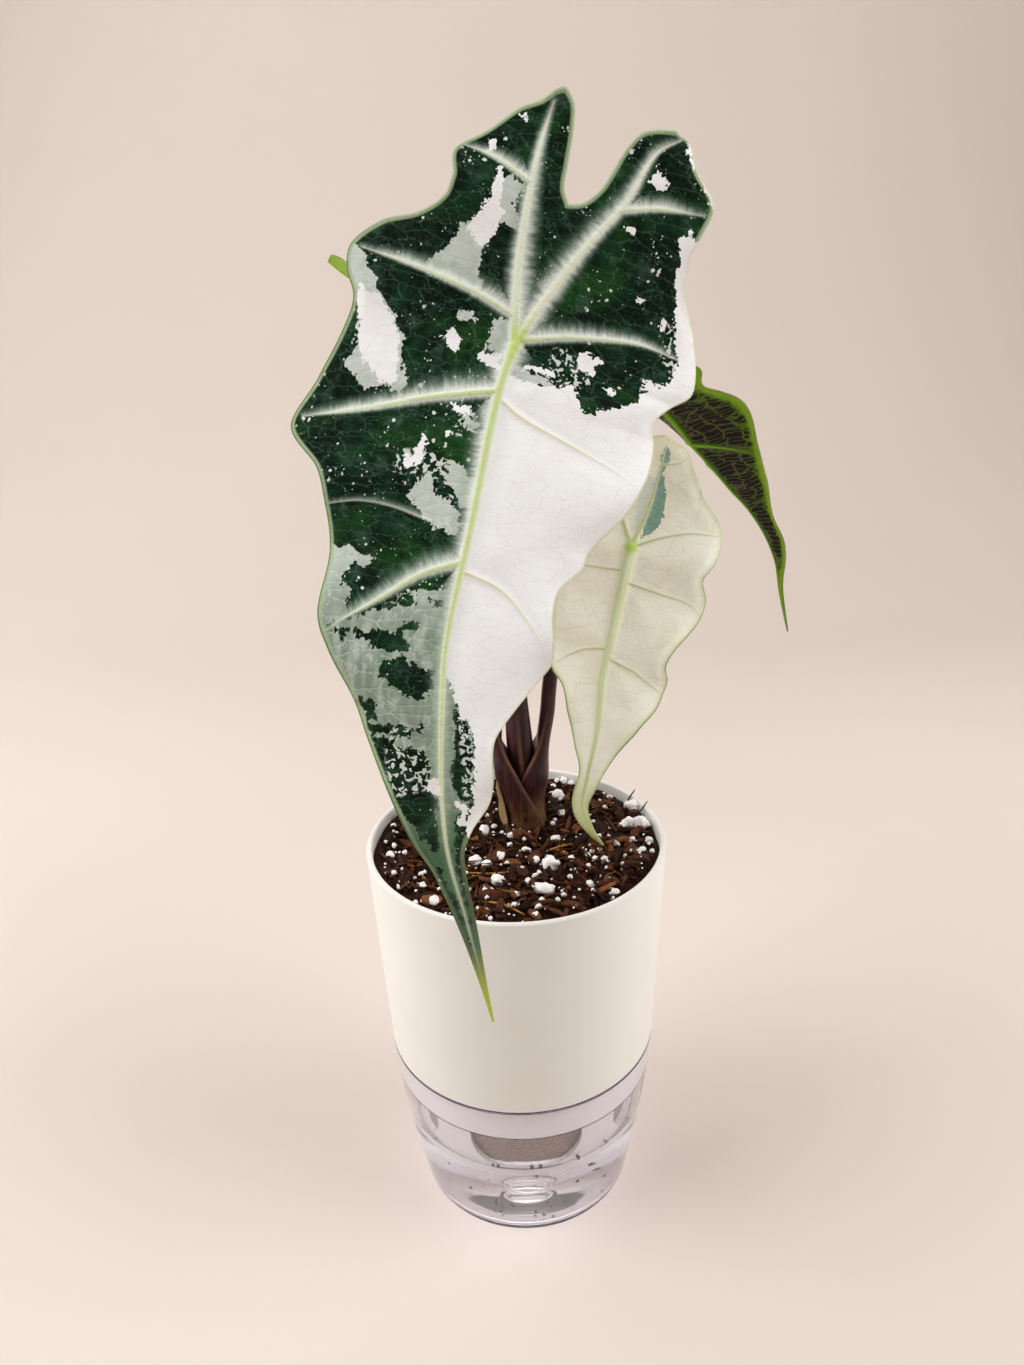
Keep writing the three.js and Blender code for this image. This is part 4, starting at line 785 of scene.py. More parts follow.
def cream_blade_material(settings):
    """Living leaf with hardly any chlorophyll: cream and satin, greenish along its veins and margin."""
    material, add, shader = new_material("Cream leaf, satin cuticle")
    names = ("down", "margin", "vein", "girth", "grey", "mist", "underside")
    numbers = [add("Attribute", output="Fac", attribute_name=name) for name in names]
    down, margin, vein, girth, grey_depth, mist_depth, underside = numbers
    flat = add("Attribute", output="Vector", attribute_name="flat")
    swirl = add("VectorMath", [add("TexNoise", [flat, 1 / 12, 1], output="Color"), 5.0], operation="SCALE")
    shifted = add("VectorMath", [flat, swirl], operation="ADD")

    clouds = add("MapRange", [add("TexNoise", [flat, 1 / 13, 3]), 0.4, 0.72, 0, 1])
    cream = add("Mix", [clouds, settings.leaf_cream, "f7f6e2"])
    # Olive towards the top of the lobes: painted shade.
    cream = add("Mix", [add("MapRange", [down, -42, -12, 0.4, 0]), cream, "d5d0a6"])
    # Veins of the third order, some 6 mm apart, from the midrib towards the margin.
    stretched = add("VectorMath", [shifted, (0.17, 0.045, 1)], operation="MULTIPLY")
    net = add("TexVoronoi", {"Vector": stretched, "Scale": 1.0}, feature="DISTANCE_TO_EDGE")
    line_colour = add("Mix", [add("MapRange", [down, 20, 70, 0, 1]), "e0d4b4", "d0d5a8"])
    cream = add("Mix", [add("MapRange", [net, 0, 0.03, 0.3, 0]), cream, line_colour])

    jag = add("Math", [add("TexNoise", [flat, 1 / 1.5, 1]), 3.0, -1.5], operation="MULTIPLY_ADD")
    grey = add("MapRange", [add("Math", [jag, grey_depth], operation="ADD"), -0.1, 0.14, 0, 1])
    grey_colour = add("Mix", [add("TexNoise", [flat, 1 / 2.5, 3]), "648d7d", "a1c3b2"])
    mist = add("MapRange", [add("Math", [jag, mist_depth], operation="ADD"), -1.8, 1.2, 0, 0.55])
    cream = add("Mix", [mist, cream, "b1c9bb"])
    cream = add("Mix", [grey, cream, grey_colour])

    soft = add("Math", [girth, 0.4, 0.2], operation="MULTIPLY_ADD")
    from_vein = add("Math", [vein, soft], operation="DIVIDE")
    cream = add("Mix", [add("MapRange", [from_vein, 0, 1.5, 0.6, 0]), cream, "e6ebc8"])
    wide = add("MapRange", [girth, 0.9, 1.8, 0, 1])
    centre = add("Mix", [add("MapRange", [vein, -1.6, -0.5, 0, 1]), "e3edcb", settings.cream_vein])
    vein_colour = add("Mix", [wide, "c6d09c", centre])
    body = add("Mix", [add("MapRange", [vein, -0.25, 0.25, 0.95, 0]), cream, vein_colour])
    joint = add("VectorMath", [flat], operation="LENGTH")
    body = add("Mix", [add("MapRange", [joint, 1.2, 3.2, 0.9, 0]), body, "b8da6c"])
    rim = add("MapRange", [down, -20, 40, 0.5, 1])
    band = add("Math", [add("MapRange", [margin, 0.5, 2.2, 0.6, 0]), rim], operation="MULTIPLY")
    body = add("Mix", [band, body, "d9dcb2"])
    edge = add("Math", [add("MapRange", [margin, 0.3, 0.7, 0.95, 0]), rim], operation="MULTIPLY")
    body = add("Mix", [edge, body, "93a764"])
    body = add("Mix", [add("MapRange", [down, 72, 110, 0, 0.9]), body, "cdd98f"])
    back = add("Math", [underside, 0.3], operation="MULTIPLY")
    body = add("Mix", [back, body, "cdbea6"])
    quilt = add("Math", [add("MapRange", [net, 0, 0.12, 0, 1]), 0.35], operation="MULTIPLY")
    relief = add("Math", [quilt, add("TexNoise", [flat, 1 / 1.2, 2])], operation="ADD")
    normal = add("Bump", {"Height": relief, "Distance": 0.00014, "Strength": 0.8})
    plug(shader,
         {"Base Color": body, "Roughness": 0.42, "IOR": 1.45, "Specular IOR Level": 0.4, "Normal": normal})
    return material


def dark_blade_material(settings):
    """Living leaf shown mostly from below: cells backed with purple, nearly black, in a net of lime
    veins, with a lime band along the margin."""
    material, add, shader = new_material("Purple-backed leaf, glossy cuticle")
    names = ("down", "margin", "vein", "girth", "underside")
    numbers = [add("Attribute", output="Fac", attribute_name=name) for name in names]
    down, margin, vein, girth, underside = numbers
    flat = add("Attribute", output="Vector", attribute_name="flat")
    swirl = add("VectorMath", [add("TexNoise", [flat, 1 / 9, 2], output="Color"), 5.0], operation="SCALE")
    shifted = add("SeparateXYZ", [add("VectorMath", [flat, swirl], operation="ADD")], output="X")
    aside = add("SeparateXYZ", [flat], output="Y")
    # Ribs 1.5 mm apart that run from the midrib to the margin and lean towards the tip.
    along_leaf = add("Math", [aside, 0.45, shifted], operation="MULTIPLY_ADD")
    stretched = add("CombineXYZ", [along_leaf, add("Math", [aside, 0.17], operation="MULTIPLY"), 0.0])
    stretched = add("VectorMath", [stretched, (0.6, 1, 1)], operation="MULTIPLY")
    net = add("TexVoronoi", {"Vector": stretched, "Scale": 1.0, "Randomness": 0.6},
              feature="DISTANCE_TO_EDGE")
    # The blade is narrow low down, and its lime band with it.
    narrow = add("MapRange", [down, 70, 130, 1, 0.45])
    from_rim = add("Math", [margin, narrow], operation="DIVIDE")
    near_rib = add("MapRange", [vein, 0, 3.0, 0.14, 0.0])
    near_rim = add("MapRange", [from_rim, 3, 6, 0.24, 0.09])
    width = add("Math", [near_rib, near_rim], operation="ADD")
    line = add("MapRange", [add("Math", [net, width], operation="DIVIDE"), 0.25, 1.0, 0.85, 0])
    dark = add("Mix", [add("TexNoise", [flat, 1 / 6, 3]), settings.leaf_purple, "211a12"])
    limed = add("MapRange", [from_rim, 4, 12, 1, 0])
    line_colour = add("Mix", [add("TexNoise", [flat, 1 / 5, 2]), "4c5a34", "6a6f48"])
    line_colour = add("Mix", [limed, line_colour, "5f8214"])
    body = add("Mix", [line, dark, line_colour])
    reach = add("Math", [girth, 0.7, 0.4], operation="MULTIPLY_ADD")
    from_vein = add("Math", [vein, reach], operation="DIVIDE")
    body = add("Mix", [add("MapRange", [from_vein, 0, 1.3, 0.85, 0]), body, "3f6a12"])
    body = add("Mix", [add("MapRange", [vein, -0.4, 0.4, 1, 0]), body, settings.vein_lime])
    ragged = add("Math", [add("TexNoise", [flat, 1 / 2.2, 2]), 2.4, from_rim], operation="MULTIPLY_ADD")
    body = add("Mix", [add("MapRange", [ragged, 3.0, 5.2, 0.95, 0]), body, "88b820"])
    body = add("Mix", [add("MapRange", [margin, 0.3, 0.9, 0.9, 0]), body, "a5b656"])
    body = add("Mix", [add("MapRange", [down, 134, 150, 0, 1]), body, "86a624"])
    upper = add("Mix", [line, "123c22", "3d7a4a"])
    upper = add("Mix", [add("MapRange", [vein, 0, 1.2, 1, 0]), upper, "c8dc96"])
    body = add("Mix", [underside, upper, body])
    body = add("Mix", [add("MapRange", [down, -42, -22, 1, 0]), body, "8bab1e"])
    relief = add("Math", [add("MapRange", [net, 0, 0.25, 1, 0]), add("TexNoise", [flat, 1 / 0.8, 2])],
                 operation="ADD")
    normal = add("Bump", {"Height": relief, "Distance": 0.0002, "Strength": 0.8})
    plug(shader,
         {"Base Color": body, "Roughness": 0.3, "IOR": 1.45, "Specular IOR Level": 0.3, "Normal": normal})
    return material


def stalk_material(settings):
    """Living stalk with a smooth waxy skin, purple-brown over green, with fine ribs along it. Its sheath
    is brown and dry at the foot, with pale papery edges."""
    material, add, shader = new_material("Purple stalk, waxy skin")
    where = add("TexCoord", output="Object")
    height = add("Math", [add("SeparateXYZ", [where], output="Z"), 1000.0], operation="MULTIPLY")
    rim = add("Attribute", output="Fac", attribute_name="rim")
    lengthwise = add("VectorMath", [where, (1, 1, 0.06)], operation="MULTIPLY")
    grain = add("TexNoise", [lengthwise, 1000 / 1.1, 3, 0.55])
    patches = add("TexNoise", [where, 1000 / 13, 3])
    body = add("Mix", [add("MapRange", [grain, 0.3, 0.75, 0, 1]), settings.stalk_purple, "4b282b"])
    body = add("Mix", [add("MapRange", [patches, 0.45, 0.75, 0, 0.6]), body, "1c0c10"])
    uneven = add("Math", [patches, 16.0, height], operation="MULTIPLY_ADD")
    foot = add("MapRange", [uneven, 158, 182, 0.92, 0])
    husk = add("MapRange", [grain, 0.35, 0.7, 0, 1])
    foot_colour = add("Mix", [husk, "33190f", "6a4427"])
    foot_colour = add("Mix", [add("MapRange", [patches, 0.5, 0.65, 0, 0.7]), foot_colour, "8a6a42"])
    body = add("Mix", [foot, body, foot_colour])
    body = add("Mix", [add("MapRange", [height, 206, 330, 0, 0.45]), body, "4a3a2a"])
    low = add("MapRange", [height, 178, 204, 1, 0])
    edge = add("Math", [add("MapRange", [rim, 0, 0.8, 0.8, 0]), low], operation="MULTIPLY")
    body = add("Mix", [edge, body, "7c5a48"])
    normal = add("Bump", {"Height": grain, "Distance": 0.00025, "Strength": 0.6})
    plug(shader,
         {"Base Color": body, "Roughness": 0.36, "IOR": 1.45, "Specular IOR Level": 0.4, "Normal": normal})
    return material


def dry_sheath_material():
    """Dead leaf sheath, dried to thin tan paper with fibres along it."""
    material, add, shader = new_material("Dry leaf sheath, papery")
    lengthwise = add("VectorMath", [add("TexCoord", output="Object"), (1, 1, 0.08)], operation="MULTIPLY")
    fibre = add("TexNoise", [lengthwise, 1000 / 0.7, 3, 0.55])
    body = add("Mix", [fibre, "6b4f31", "bda173"])
    normal = add("Bump", {"Height": fibre, "Distance": 0.0003, "Strength": 0.8})
    plug(shader, {"Base Color": body, "Roughness": 0.8, "Normal": normal})
    return material


def cream_plastic_material(settings):
    """Polypropylene, injection-moulded, cream, with the satin of its mould. The mould's texture is 0.1 to
    0.2 mm, and drawn at 0.5 mm so that it shows."""
    material, add, shader = new_material("Polypropylene, moulded satin")
    where = add("TexCoord", output="Object")
    body = add("Mix", [add("TexNoise", [where, 1000 / 26, 2]), settings.planter_colour, "ece9e3"])
    satin = add("TexNoise", [where, 1000 / 0.5, 2])
    normal = add("Bump", {"Height": satin, "Distance": 0.00003, "Strength": 0.5})
    plug(shader,
         {"Base Color": body, "Roughness": 0.42, "IOR": 1.49, "Specular IOR Level": 0.35, "Normal": normal})
    return material


def let_light_through(material, add, shader, tint):
    """Lets lamps and diffuse light straight through a clear material, to what it holds."""
    rays = [add("LightPath", output=name) for name in ("Is Shadow Ray", "Is Diffuse Ray")]
    share = add("Math", rays, operation="MAXIMUM")
    straight = add("BsdfTransparent", {"Color": tint})
    shown = add("MixShader", [share, shader.outputs["BSDF"], straight])
    plug(material.node_tree.nodes["Material Output"], {"Surface": shown})


def clear_plastic_material(settings):
    """Clear styrene, injection-moulded: bright and smooth, faintly violet where it is seen edge on, with
    painted violet shade at its lip and round its base.
    """
    material, add, shader = new_material("Clear styrene, polished mould")
    where = add("TexCoord", output="Object")
    haze = add("MapRange", [add("TexNoise", [where, 1000 / 9, 3]), 0.35, 0.8, 0.0, 0.05])
    waves = add("TexNoise", [where, 1000 / 16, 2])
    normal = add("Bump", {"Height": waves, "Distance": 0.00025, "Strength": 0.35})
    # Dark violet at the lip and round the base: painted shade for the wall seen edge on, where sight lines
    # run along it.
    height = add("Math", [add("SeparateXYZ", [where], output="Z"), 1000.0], operation="MULTIPLY")
    lip = add("MapRange", [height, settings.seam_height / MM - 1.0, settings.seam_height / MM - 0.75, 0, 1])
    base = add("MapRange", [height, 0.8, 2.2, 0.85, 0])
    edge = add("Math", [lip, base], operation="MAXIMUM")
    colour = add("Mix", [edge, "fbfaff", "54486f"])
    glass = {"Base Color": colour, "IOR": 1.56, "Transmission Weight": 1.0, "Roughness": haze}
    plug(shader, glass | {"Normal": normal})
    absorbed = add("VolumeAbsorption", {"Color": settings.cup_tint, "Density": settings.cup_tint_density})
    plug(material.node_tree.nodes["Material Output"], {"Volume": absorbed})
    let_light_through(material, add, shader, "fbfafd")
    return material


def water_material():
    """Tap water, still and clear: it has hardly any tint over a few centimetres."""
    material, add, shader = new_material("Water, still")
    waves = add("TexNoise", [add("TexCoord", output="Object"), 1000 / 22, 2])
    normal = add("Bump", {"Height": waves, "Distance": 0.0006, "Strength": 0.3})
    glass = {"Base Color": "feffff", "IOR": 1.333, "Transmission Weight": 1.0, "Roughness": 0.0}
    glass["Specular IOR Level"] = 0.1
    plug(shader, glass | {"Normal": normal})
    let_light_through(material, add, shader, "fcfdff")
    return material


def felt_material():
    """Polyester felt, needled, grey-brown and damp, with fibres about 1 mm long."""
    material, add, shader = new_material("Needled felt, damp")
    where = add("TexCoord", output="Object")
    fibre = add("TexNoise", [where, 1000 / 0.9, 4, 0.7])
    body = add("Mix", [add("MapRange", [fibre, 0.3, 0.75, 0, 1]), "7d6b5e", "ab9788"])
    damp = add("MapRange", [add("TexNoise", [where, 1000 / 9, 2]), 0.5, 0.75, 0, 0.4])
    body = add("Mix", [damp, body, "65544a"])
    normal = add("Bump", {"Height": fibre, "Distance": 0.0004, "Strength": 0.9})
    plug(shader, {"Base Color": body, "Roughness": 0.9, "Sheen Weight": 0.2, "Normal": normal})
    return material


def bark_mix_material():
    """Composted bark and coir, fine, dark brown and damp, in crumbs of 0.5 to 2 mm."""
    material, add, shader = new_material("Composted bark, damp crumbs")
    where = add("TexCoord", output="Object")
    crumbs = add("TexNoise", [where, 1000 / 1.3, 5, 0.7])
    body = add("Mix", [add("MapRange", [crumbs, 0.35, 0.7, 0, 1]), "160b07", "4a2b1b"])
    dry = add("MapRange", [add("TexNoise", [where, 1000 / 5, 3]), 0.55, 0.75, 0, 0.5])
    body = add("Mix", [dry, body, "6b3d22"])
    normal = add("Bump", {"Height": crumbs, "Distance": 0.0012, "Strength": 1.0})
    plug(shader, {"Base Color": body, "Roughness": 0.85, "Specular IOR Level": 0.3, "Normal": normal})
    return material


def chip_material(name, damp, dry, bright):
    """Split bark or husk, with its grain: from dark and damp to orange-brown where it is dry. tone is a
    random number for each chip."""
    material, add, shader = new_material(name)
    tone = add("Attribute", output="Fac", attribute_name="tone")
    grain = add("TexNoise", [add("TexCoord", output="Object"), 1000 / 0.8, 4, 0.65])
    body = add("Mix", [add("MapRange", [tone, 0.35, 0.75, 0, 1]), damp, dry])
    body = add("Mix", [add("MapRange", [tone, 0.82, 1.0, 0, 0.9]), body, bright])
    body = add("Mix", [add("MapRange", [grain, 0.45, 0.7, 0, 0.7]), body, "1a0d08"])
    normal = add("Bump", {"Height": grain, "Distance": 0.0005, "Strength": 0.8})
    plug(shader, {"Base Color": body, "Roughness": 0.62, "Specular IOR Level": 0.4, "Normal": normal})
    return material


def perlite_material():
    """Volcanic glass, expanded to white foam: matt, with pores well under a millimetre."""
    material, add, shader = new_material("Perlite, expanded")
    where = add("TexCoord", output="Object")
    pores = add("TexVoronoi", {"Vector": where, "Scale": 1000 / 0.7}, output="Distance")
    # Greyer in the pores: painted shade in the pores.
    body = add("Mix", [add("MapRange", [pores, 0, 0.35, 0.4, 0]), "fdfbf8", "c8bdb2"])
    foam = add("TexNoise", [where, 1000 / 0.6, 4])
    normal = add("Bump", {"Height": foam, "Distance": 0.0002, "Strength": 0.7})
    plug(shader, {"Base Color": body, "Roughness": 0.85, "IOR": 1.5, "Normal": normal})
    return material


def speck_material():
    """Bark crumbs, soaked, nearly black in the water."""
    material, add, shader = new_material("Bark crumbs, soaked")
    wet = add("TexNoise", [add("TexCoord", output="Object"), 1000 / 0.4, 2])
    plug(shader, {"Base Color": add("Mix", [wet, "0d0706", "2b1a12"]), "Roughness": 0.5})
    return material


def corm_material():
    """Corm skin and roots, fibrous and tan, ringed by old leaf scars."""
    material, add, shader = new_material("Corm skin, fibrous")
    ringed = add("VectorMath", [add("TexCoord", output="Object"), (1, 1, 4)], operation="MULTIPLY")
    fibre = add("TexNoise", [ringed, 1000 / 0.9, 3])
    normal = add("Bump", {"Height": fibre, "Distance": 0.0005, "Strength": 0.8})
    colour = add("Mix", [fibre, "6d4a2a", "c3a57c"])
    plug(shader, {"Base Color": colour, "Roughness": 0.8, "Normal": normal})
    return material


def paper_material(settings):
    """Seamless background paper, matt, mottled very slightly over tens of centimetres."""
    material, add, shader = new_material("Background paper, matt")
    mottle = add("TexNoise", [add("TexCoord", output="Object"), 1000 / 260, 3])
    colour = add("Mix", [mottle, settings.paper_colour, "ddd2ca"])
    plug(shader, {"Base Color": colour, "Roughness": 0.9, "Specular IOR Level": 0.15})
    return material


def arc(x, y, radius, start, end, steps):
    """Points of a quarter-round from one angle to another, in degrees."""
    angles = np.radians(np.linspace(start, end, steps + 1))
    return [(x + radius * math.cos(a), y + radius * math.sin(a)) for a in angles]


def ring_faces(low, high, count):
    """Faces between two rings of as many points, of which the first ones have the numbers low and high."""
    return [(low + k, low + (k + 1) % count, high + (k + 1) % count, high + k) for k in range(count)]


def turned(profile, sides):
    """Points in metres and faces of a profile of [radius, height] in millimetres turned round the Z axis.
    A profile that starts and ends on the axis is closed there."""
    points = []
    rings = []
    for radius, height in profile:
        if radius < 1e-6:
            rings.append([len(points)] * sides)
            points.append((0, 0, height * MM))
        else:
            rings.append([len(points) + k for k in range(sides)])
            spots = [TAU * k / sides for k in range(sides)]
            points += [(radius * MM * math.cos(a), radius * MM * math.sin(a), height * MM) for a in spots]
    faces = []
    for low, high in zip(rings, rings[1:]):
        for k in range(sides):
            face = [low[k], low[(k + 1) % sides], high[(k + 1) % sides], high[k]]
            face = list(dict.fromkeys(face))
            if len(face) > 2:
                faces.append(face)
    return points, faces


def outside_radius(z, pot):
    """The pot's outside radius: straight from the rim to the seam, then slightly bowed to the base."""
    rim, seam, base = RIM_RADIUS / MM, pot.seam_radius / MM, pot.base_radius / MM
    seam_z = pot.seam_height / MM
    if z >= seam_z:
        return seam + (rim - seam) * (z - seam_z) / (RIM_HEIGHT / MM - seam_z)
    share = (z - 6) / (seam_z - 6)
    return base + (seam - base) * share + 1.2 * 4 * share * (1 - share)


def cut_windows(piece, pot):
    """Cuts the foot's U-shaped windows and the corners round them."""
    half, corner, low, high = pot.window_width / MM / 2, 13, 38, 56
    shape = arc(-half + corner, low + corner, corner, 180, 270, 12)
    shape += arc(half - corner, low + corner, corner, 270, 360, 12)
    shape += [(half, high), (-half, high)]
    # Each cutter reaches from inside the foot's wall to outside it.
    ends = (-0.0365, -0.055)
    points = []
    faces = []
    for k in range(pot.window_count):
        turn = Matrix.Rotation(TAU * k / pot.window_count, 3, "Z")
        first = len(points)
        points += [turn @ Vector((x * MM, y, z * MM)) for y in ends for x, z in shape]
        n = len(shape)
        faces += [list(range(first, first + n))[::-1], list(range(first + n, first + 2 * n))]
        faces += ring_faces(first, first + n, n)
    mesh = bpy.data.meshes.new("window_cutters")
    mesh.from_pydata(points, [], faces)
    cutter = bpy.data.objects.new("window_cutters", mesh)
    bpy.context.scene.collection.objects.link(cutter)
    cut = piece.modifiers.new("Windows", "BOOLEAN")
    cut.operation, cut.solver, cut.object = "DIFFERENCE", "EXACT", cutter
    seen = piece.evaluated_get(bpy.context.evaluated_depsgraph_get())
    made = bpy.data.meshes.new_from_object(seen)
    piece.modifiers.clear()
    piece.data = made
    made.shade_smooth()
    made.set_sharp_from_angle(angle=math.radians(30))
    bpy.data.objects.remove(cutter)


def mix_height(x, y):
    """The top of the potting mix without its chips, in millimetres."""
    rolling = math.sin(x * 0.21 + 1.3) * math.cos(y * 0.18) + 0.6 * math.sin(x * 0.47 - y * 0.39)
    return 150.4 + 0.72 * rolling


def lump(random, centre, half_sizes, turn, tilt, rings, sides, rough, dents=0.0):
    """Points and faces of one rough closed lump: rings of points along its length, drawn in at both ends.
    With dents it is round-ended, and dented as deep as that share of its size."""
    points = []
    faces = []
    spin = Matrix.Rotation(turn, 3, "Z") @ Matrix.Rotation(tilt, 3, "Y")
    spin = spin @ Matrix.Rotation(TAU * random.random(), 3, "X")
    for k in range(rings):
        share = (k + 0.5) / rings * 2 - 1
        girth = (1 - abs(share) ** (2 if dents else 3)) ** 0.5
        for i in range(sides):
            a = TAU * (i + 0.5 * (k % 2)) / sides
            swell = 1 + rough * (random.random() - 0.5)
            spot = Vector((share * half_sizes[0], half_sizes[1] * girth * swell * math.cos(a),
                           half_sizes[2] * girth * swell * math.sin(a)))
            if dents:
                place = Vector([a / b for a, b in zip(spot, half_sizes)]) * 1.3 + Vector(centre)
                spot *= 1 + dents * noise.noise(place)
            points.append(Vector(centre) + spin @ spot)
    for k in range(rings - 1):
        faces += ring_faces(k * sides, (k + 1) * sides, sides)
    ends = len(points)
    points += [Vector(centre) + spin @ Vector((way * half_sizes[0] * 0.98, 0, 0)) for way in (-1, 1)]
    last = (rings - 1) * sides
    for i in range(sides):
        j = (i + 1) % sides
        faces += [(ends, j, i), (ends + 1, last + i, last + j)]
    return points, faces


def thread(line, radius, sides=5):
    """Points and faces of a thin closed tube along points in millimetres, narrower at both ends."""
    line = smooth_line(line, max(6, 3 * len(line)))
    ahead = unit(np.gradient(line, axis=0))
    beside = unit(np.cross(ahead, (0.1, 0.2, 1)))
    over = np.cross(ahead, beside)
    points = []
    for k, centre in enumerate(line):
        girth = radius * (0.35 + 0.65 * math.sin(math.pi * k / (len(line) - 1)) ** 0.5)
        for i in range(sides):
            a = TAU * i / sides
            points.append(centre + girth * (beside[k] * math.cos(a) + over[k] * math.sin(a)))
    faces = []
    for k in range(len(line) - 1):
        faces += ring_faces(k * sides, (k + 1) * sides, sides)
    faces += [tuple(range(sides))[::-1], tuple(range(len(points) - sides, len(points)))]
    return [Vector(p) for p in points], faces


def gathered(name, solids, material, slot, replaced, tones=None):
    """One piece from many small closed solids in millimetres, with a number kept for each."""
    vertices = []
    faces = []
    tone = []
    for n, (points, sides) in enumerate(solids):
        faces += [tuple(i + len(vertices) for i in face) for face in sides]
        vertices += [p * MM for p in points]
        tone += [tones[n] if tones else 0.5] * len(points)
    return mesh_piece(name, vertices, faces, material, slot, replaced, {"tone": tone})


def stalk_piece(name, stalk, material, node):
    """A leaf stalk as a fine skin: round, or low down a sheath that wraps round the youngest stalk."""
    (joint,), (tangent,), _, (up,) = leaf_frame(stalk["leaf"], 0)
    end = joint - up * 2.6
    knee = end - up * 4 + tangent
    path = np.array(stalk["path"], float)
    line = smooth_line(np.vstack([path[:, :3], knee, end]), 120)
    forward = unit(np.gradient(line, axis=0))
    forward[-1] = up
    z = line[:, 2]
    level = np.array([0, 0, 1.0])
    round_share = smoothstep(*stalk["blend"], z) if stalk["wrap"] else np.ones(len(z))
    forward = unit(forward * round_share[:, None] + level * (1 - round_share[:, None]))
    radius = np.where(z < path[-1, 2], along(path[:, [2, 3]], z)[:, 0], path[-1, 3])
    side = unit(np.array([1.0, 0, 0]) - forward * forward[:, :1])
    depth = np.cross(forward, side)
    pairs = 26
    index = np.arange(2 * pairs)
    outer = index < pairs
    share = np.where(outer, index, 2 * pairs - 1 - index) / (pairs - 1)
    swing = (share - 0.5) * (math.pi - 0.1)
    angle = np.where(outer, swing, math.pi - swing) + stalk["faces"]
    points = line[:, None] + radius[:, None, None] * (
        side[:, None] * np.cos(angle)[None, :, None] + 0.92 * depth[:, None] * np.sin(angle)[None, :, None]
    )
    wrap = stalk["wrap"]
    if wrap:
        first, last, inner, edge, middle = along(wrap, np.minimum(z, wrap[-1][0])).T[:, :, None]
        turn = np.radians(first + (last - first) * share)
        thick = edge + (middle - edge) * np.abs(np.sin(math.pi * share)) ** 0.8
        r = inner + np.where(outer, thick, 0)
        x, y = along(YOUNGEST_LINE, z).T[:, :, None]
        wrapped = np.stack([x + r * np.cos(turn), y + r * np.sin(turn),
                            np.broadcast_to(z[:, None], r.shape)], axis=2)
        points = wrapped * (1 - round_share[:, None, None]) + points * round_share[:, None, None]
    size = 2 * pairs
    faces = []
    for k in range(len(line) - 1):
        faces += ring_faces(k * size, (k + 1) * size, size)
    last_ring = (len(line) - 1) * size
    for i in range(pairs - 1):
        cap = (i, i + 1, size - 2 - i, size - 1 - i)
        faces += [cap[::-1], tuple(last_ring + q for q in cap)]
    rim = np.tile(np.minimum(share, 1 - share) * 12, len(line))
    return mesh_piece(name, points.reshape(-1, 3) * MM, faces, material, "purple_stalk", [node],
                      {"rim": rim}, sharp=50)


colour_setting = partial(FloatVectorProperty, subtype="COLOR", size=4)
length_setting = partial(FloatProperty, unit="LENGTH")
power_setting = partial(FloatProperty, unit="POWER")


class PotSettings(bpy.types.PropertyGroup):
    """Sizes and colours of the pot."""

    seam_height: length_setting(name="Seam height", description="Where the planter meets the clear cup",
                                default=0.0712)
    seam_radius: length_setting(name="Seam radius", description="Outside radius at the seam",
                                default=0.0514)
    base_radius: length_setting(name="Base radius",
                                description="Outside radius of the clear cup above its rounded base edge",
                                default=0.0426)
    wall: length_setting(name="Cup wall", description="Thickness of the clear cup's wall", default=0.0026)
    window_width: length_setting(name="Window width",
                                 description="Width of each U-shaped window in the foot", default=0.04)
    window_count: IntProperty(name="Windows", description="Number of windows in the foot", default=5, min=1)
    planter_colour: colour_setting(name="Planter colour", description="Cream plastic",
                                   default=linear("f0f0ed"))
    cup_tint: colour_setting(name="Cup tint", description="Colour that the clear plastic takes on edge",
                             default=linear("8f7db4"))
    cup_tint_density: FloatProperty(name="Tint density",
                                    description="How fast the clear plastic takes its tint, per metre",
                                    default=4.0)


class MixSettings(bpy.types.PropertyGroup):
    """Amounts in the potting mix."""

    chip_count: IntProperty(name="Bark chips", description="Chips on the surface", default=640)
    fibre_count: IntProperty(name="Fibres", description="Coir fibres on the surface", default=260)
    grain_count: IntProperty(name="Perlite grains", description="Small grains besides the large ones",
                             default=330)
    seed: IntProperty(name="Seed", description="Seed of the mix's random draws", default=7)


class PlantSettings(bpy.types.PropertyGroup):
    """Sizes and colours of the leaves and stalks."""

    leaf_cell: length_setting(name="Leaf cell", description="Size of the blades' triangles",
                              default=0.00082, precision=5)
    blade_thickness: length_setting(name="Blade thickness", description="Thickness inside the margin",
                                    default=0.0009, precision=5)
    pillow: length_setting(name="Pillowing", description="How far the blade rises between its veins",
                           default=0.0009, precision=5)
    vein_relief: FloatProperty(name="Vein relief",
                               description="Height of a vein on the upper side, as a share of its width",
                               default=0.4, subtype="FACTOR")
    leaf_green: colour_setting(name="Leaf green", description="Deep green of the marbled leaf",
                               default=linear("08190f"))
    vein_green: colour_setting(name="Vein green", description="Middle of the veins",
                               default=linear("cbdd9c"))
    leaf_cream: colour_setting(name="Leaf cream", description="Body of the cream leaf",
                               default=linear("fcfff0"))
    leaf_purple: colour_setting(name="Leaf purple", description="Underside of the dark leaf",
                                default=linear("1a1310"))
    cream_vein: colour_setting(name="Cream leaf's vein", description="Midrib of the cream leaf",
                               default=linear("d6e5b2"))
    vein_lime: colour_setting(name="Vein lime", description="Veins under the dark leaf",
                              default=linear("82b323"))
    stalk_purple: colour_setting(name="Stalk purple", description="Skin of the stalks",
                                 default=linear("2f171b"))


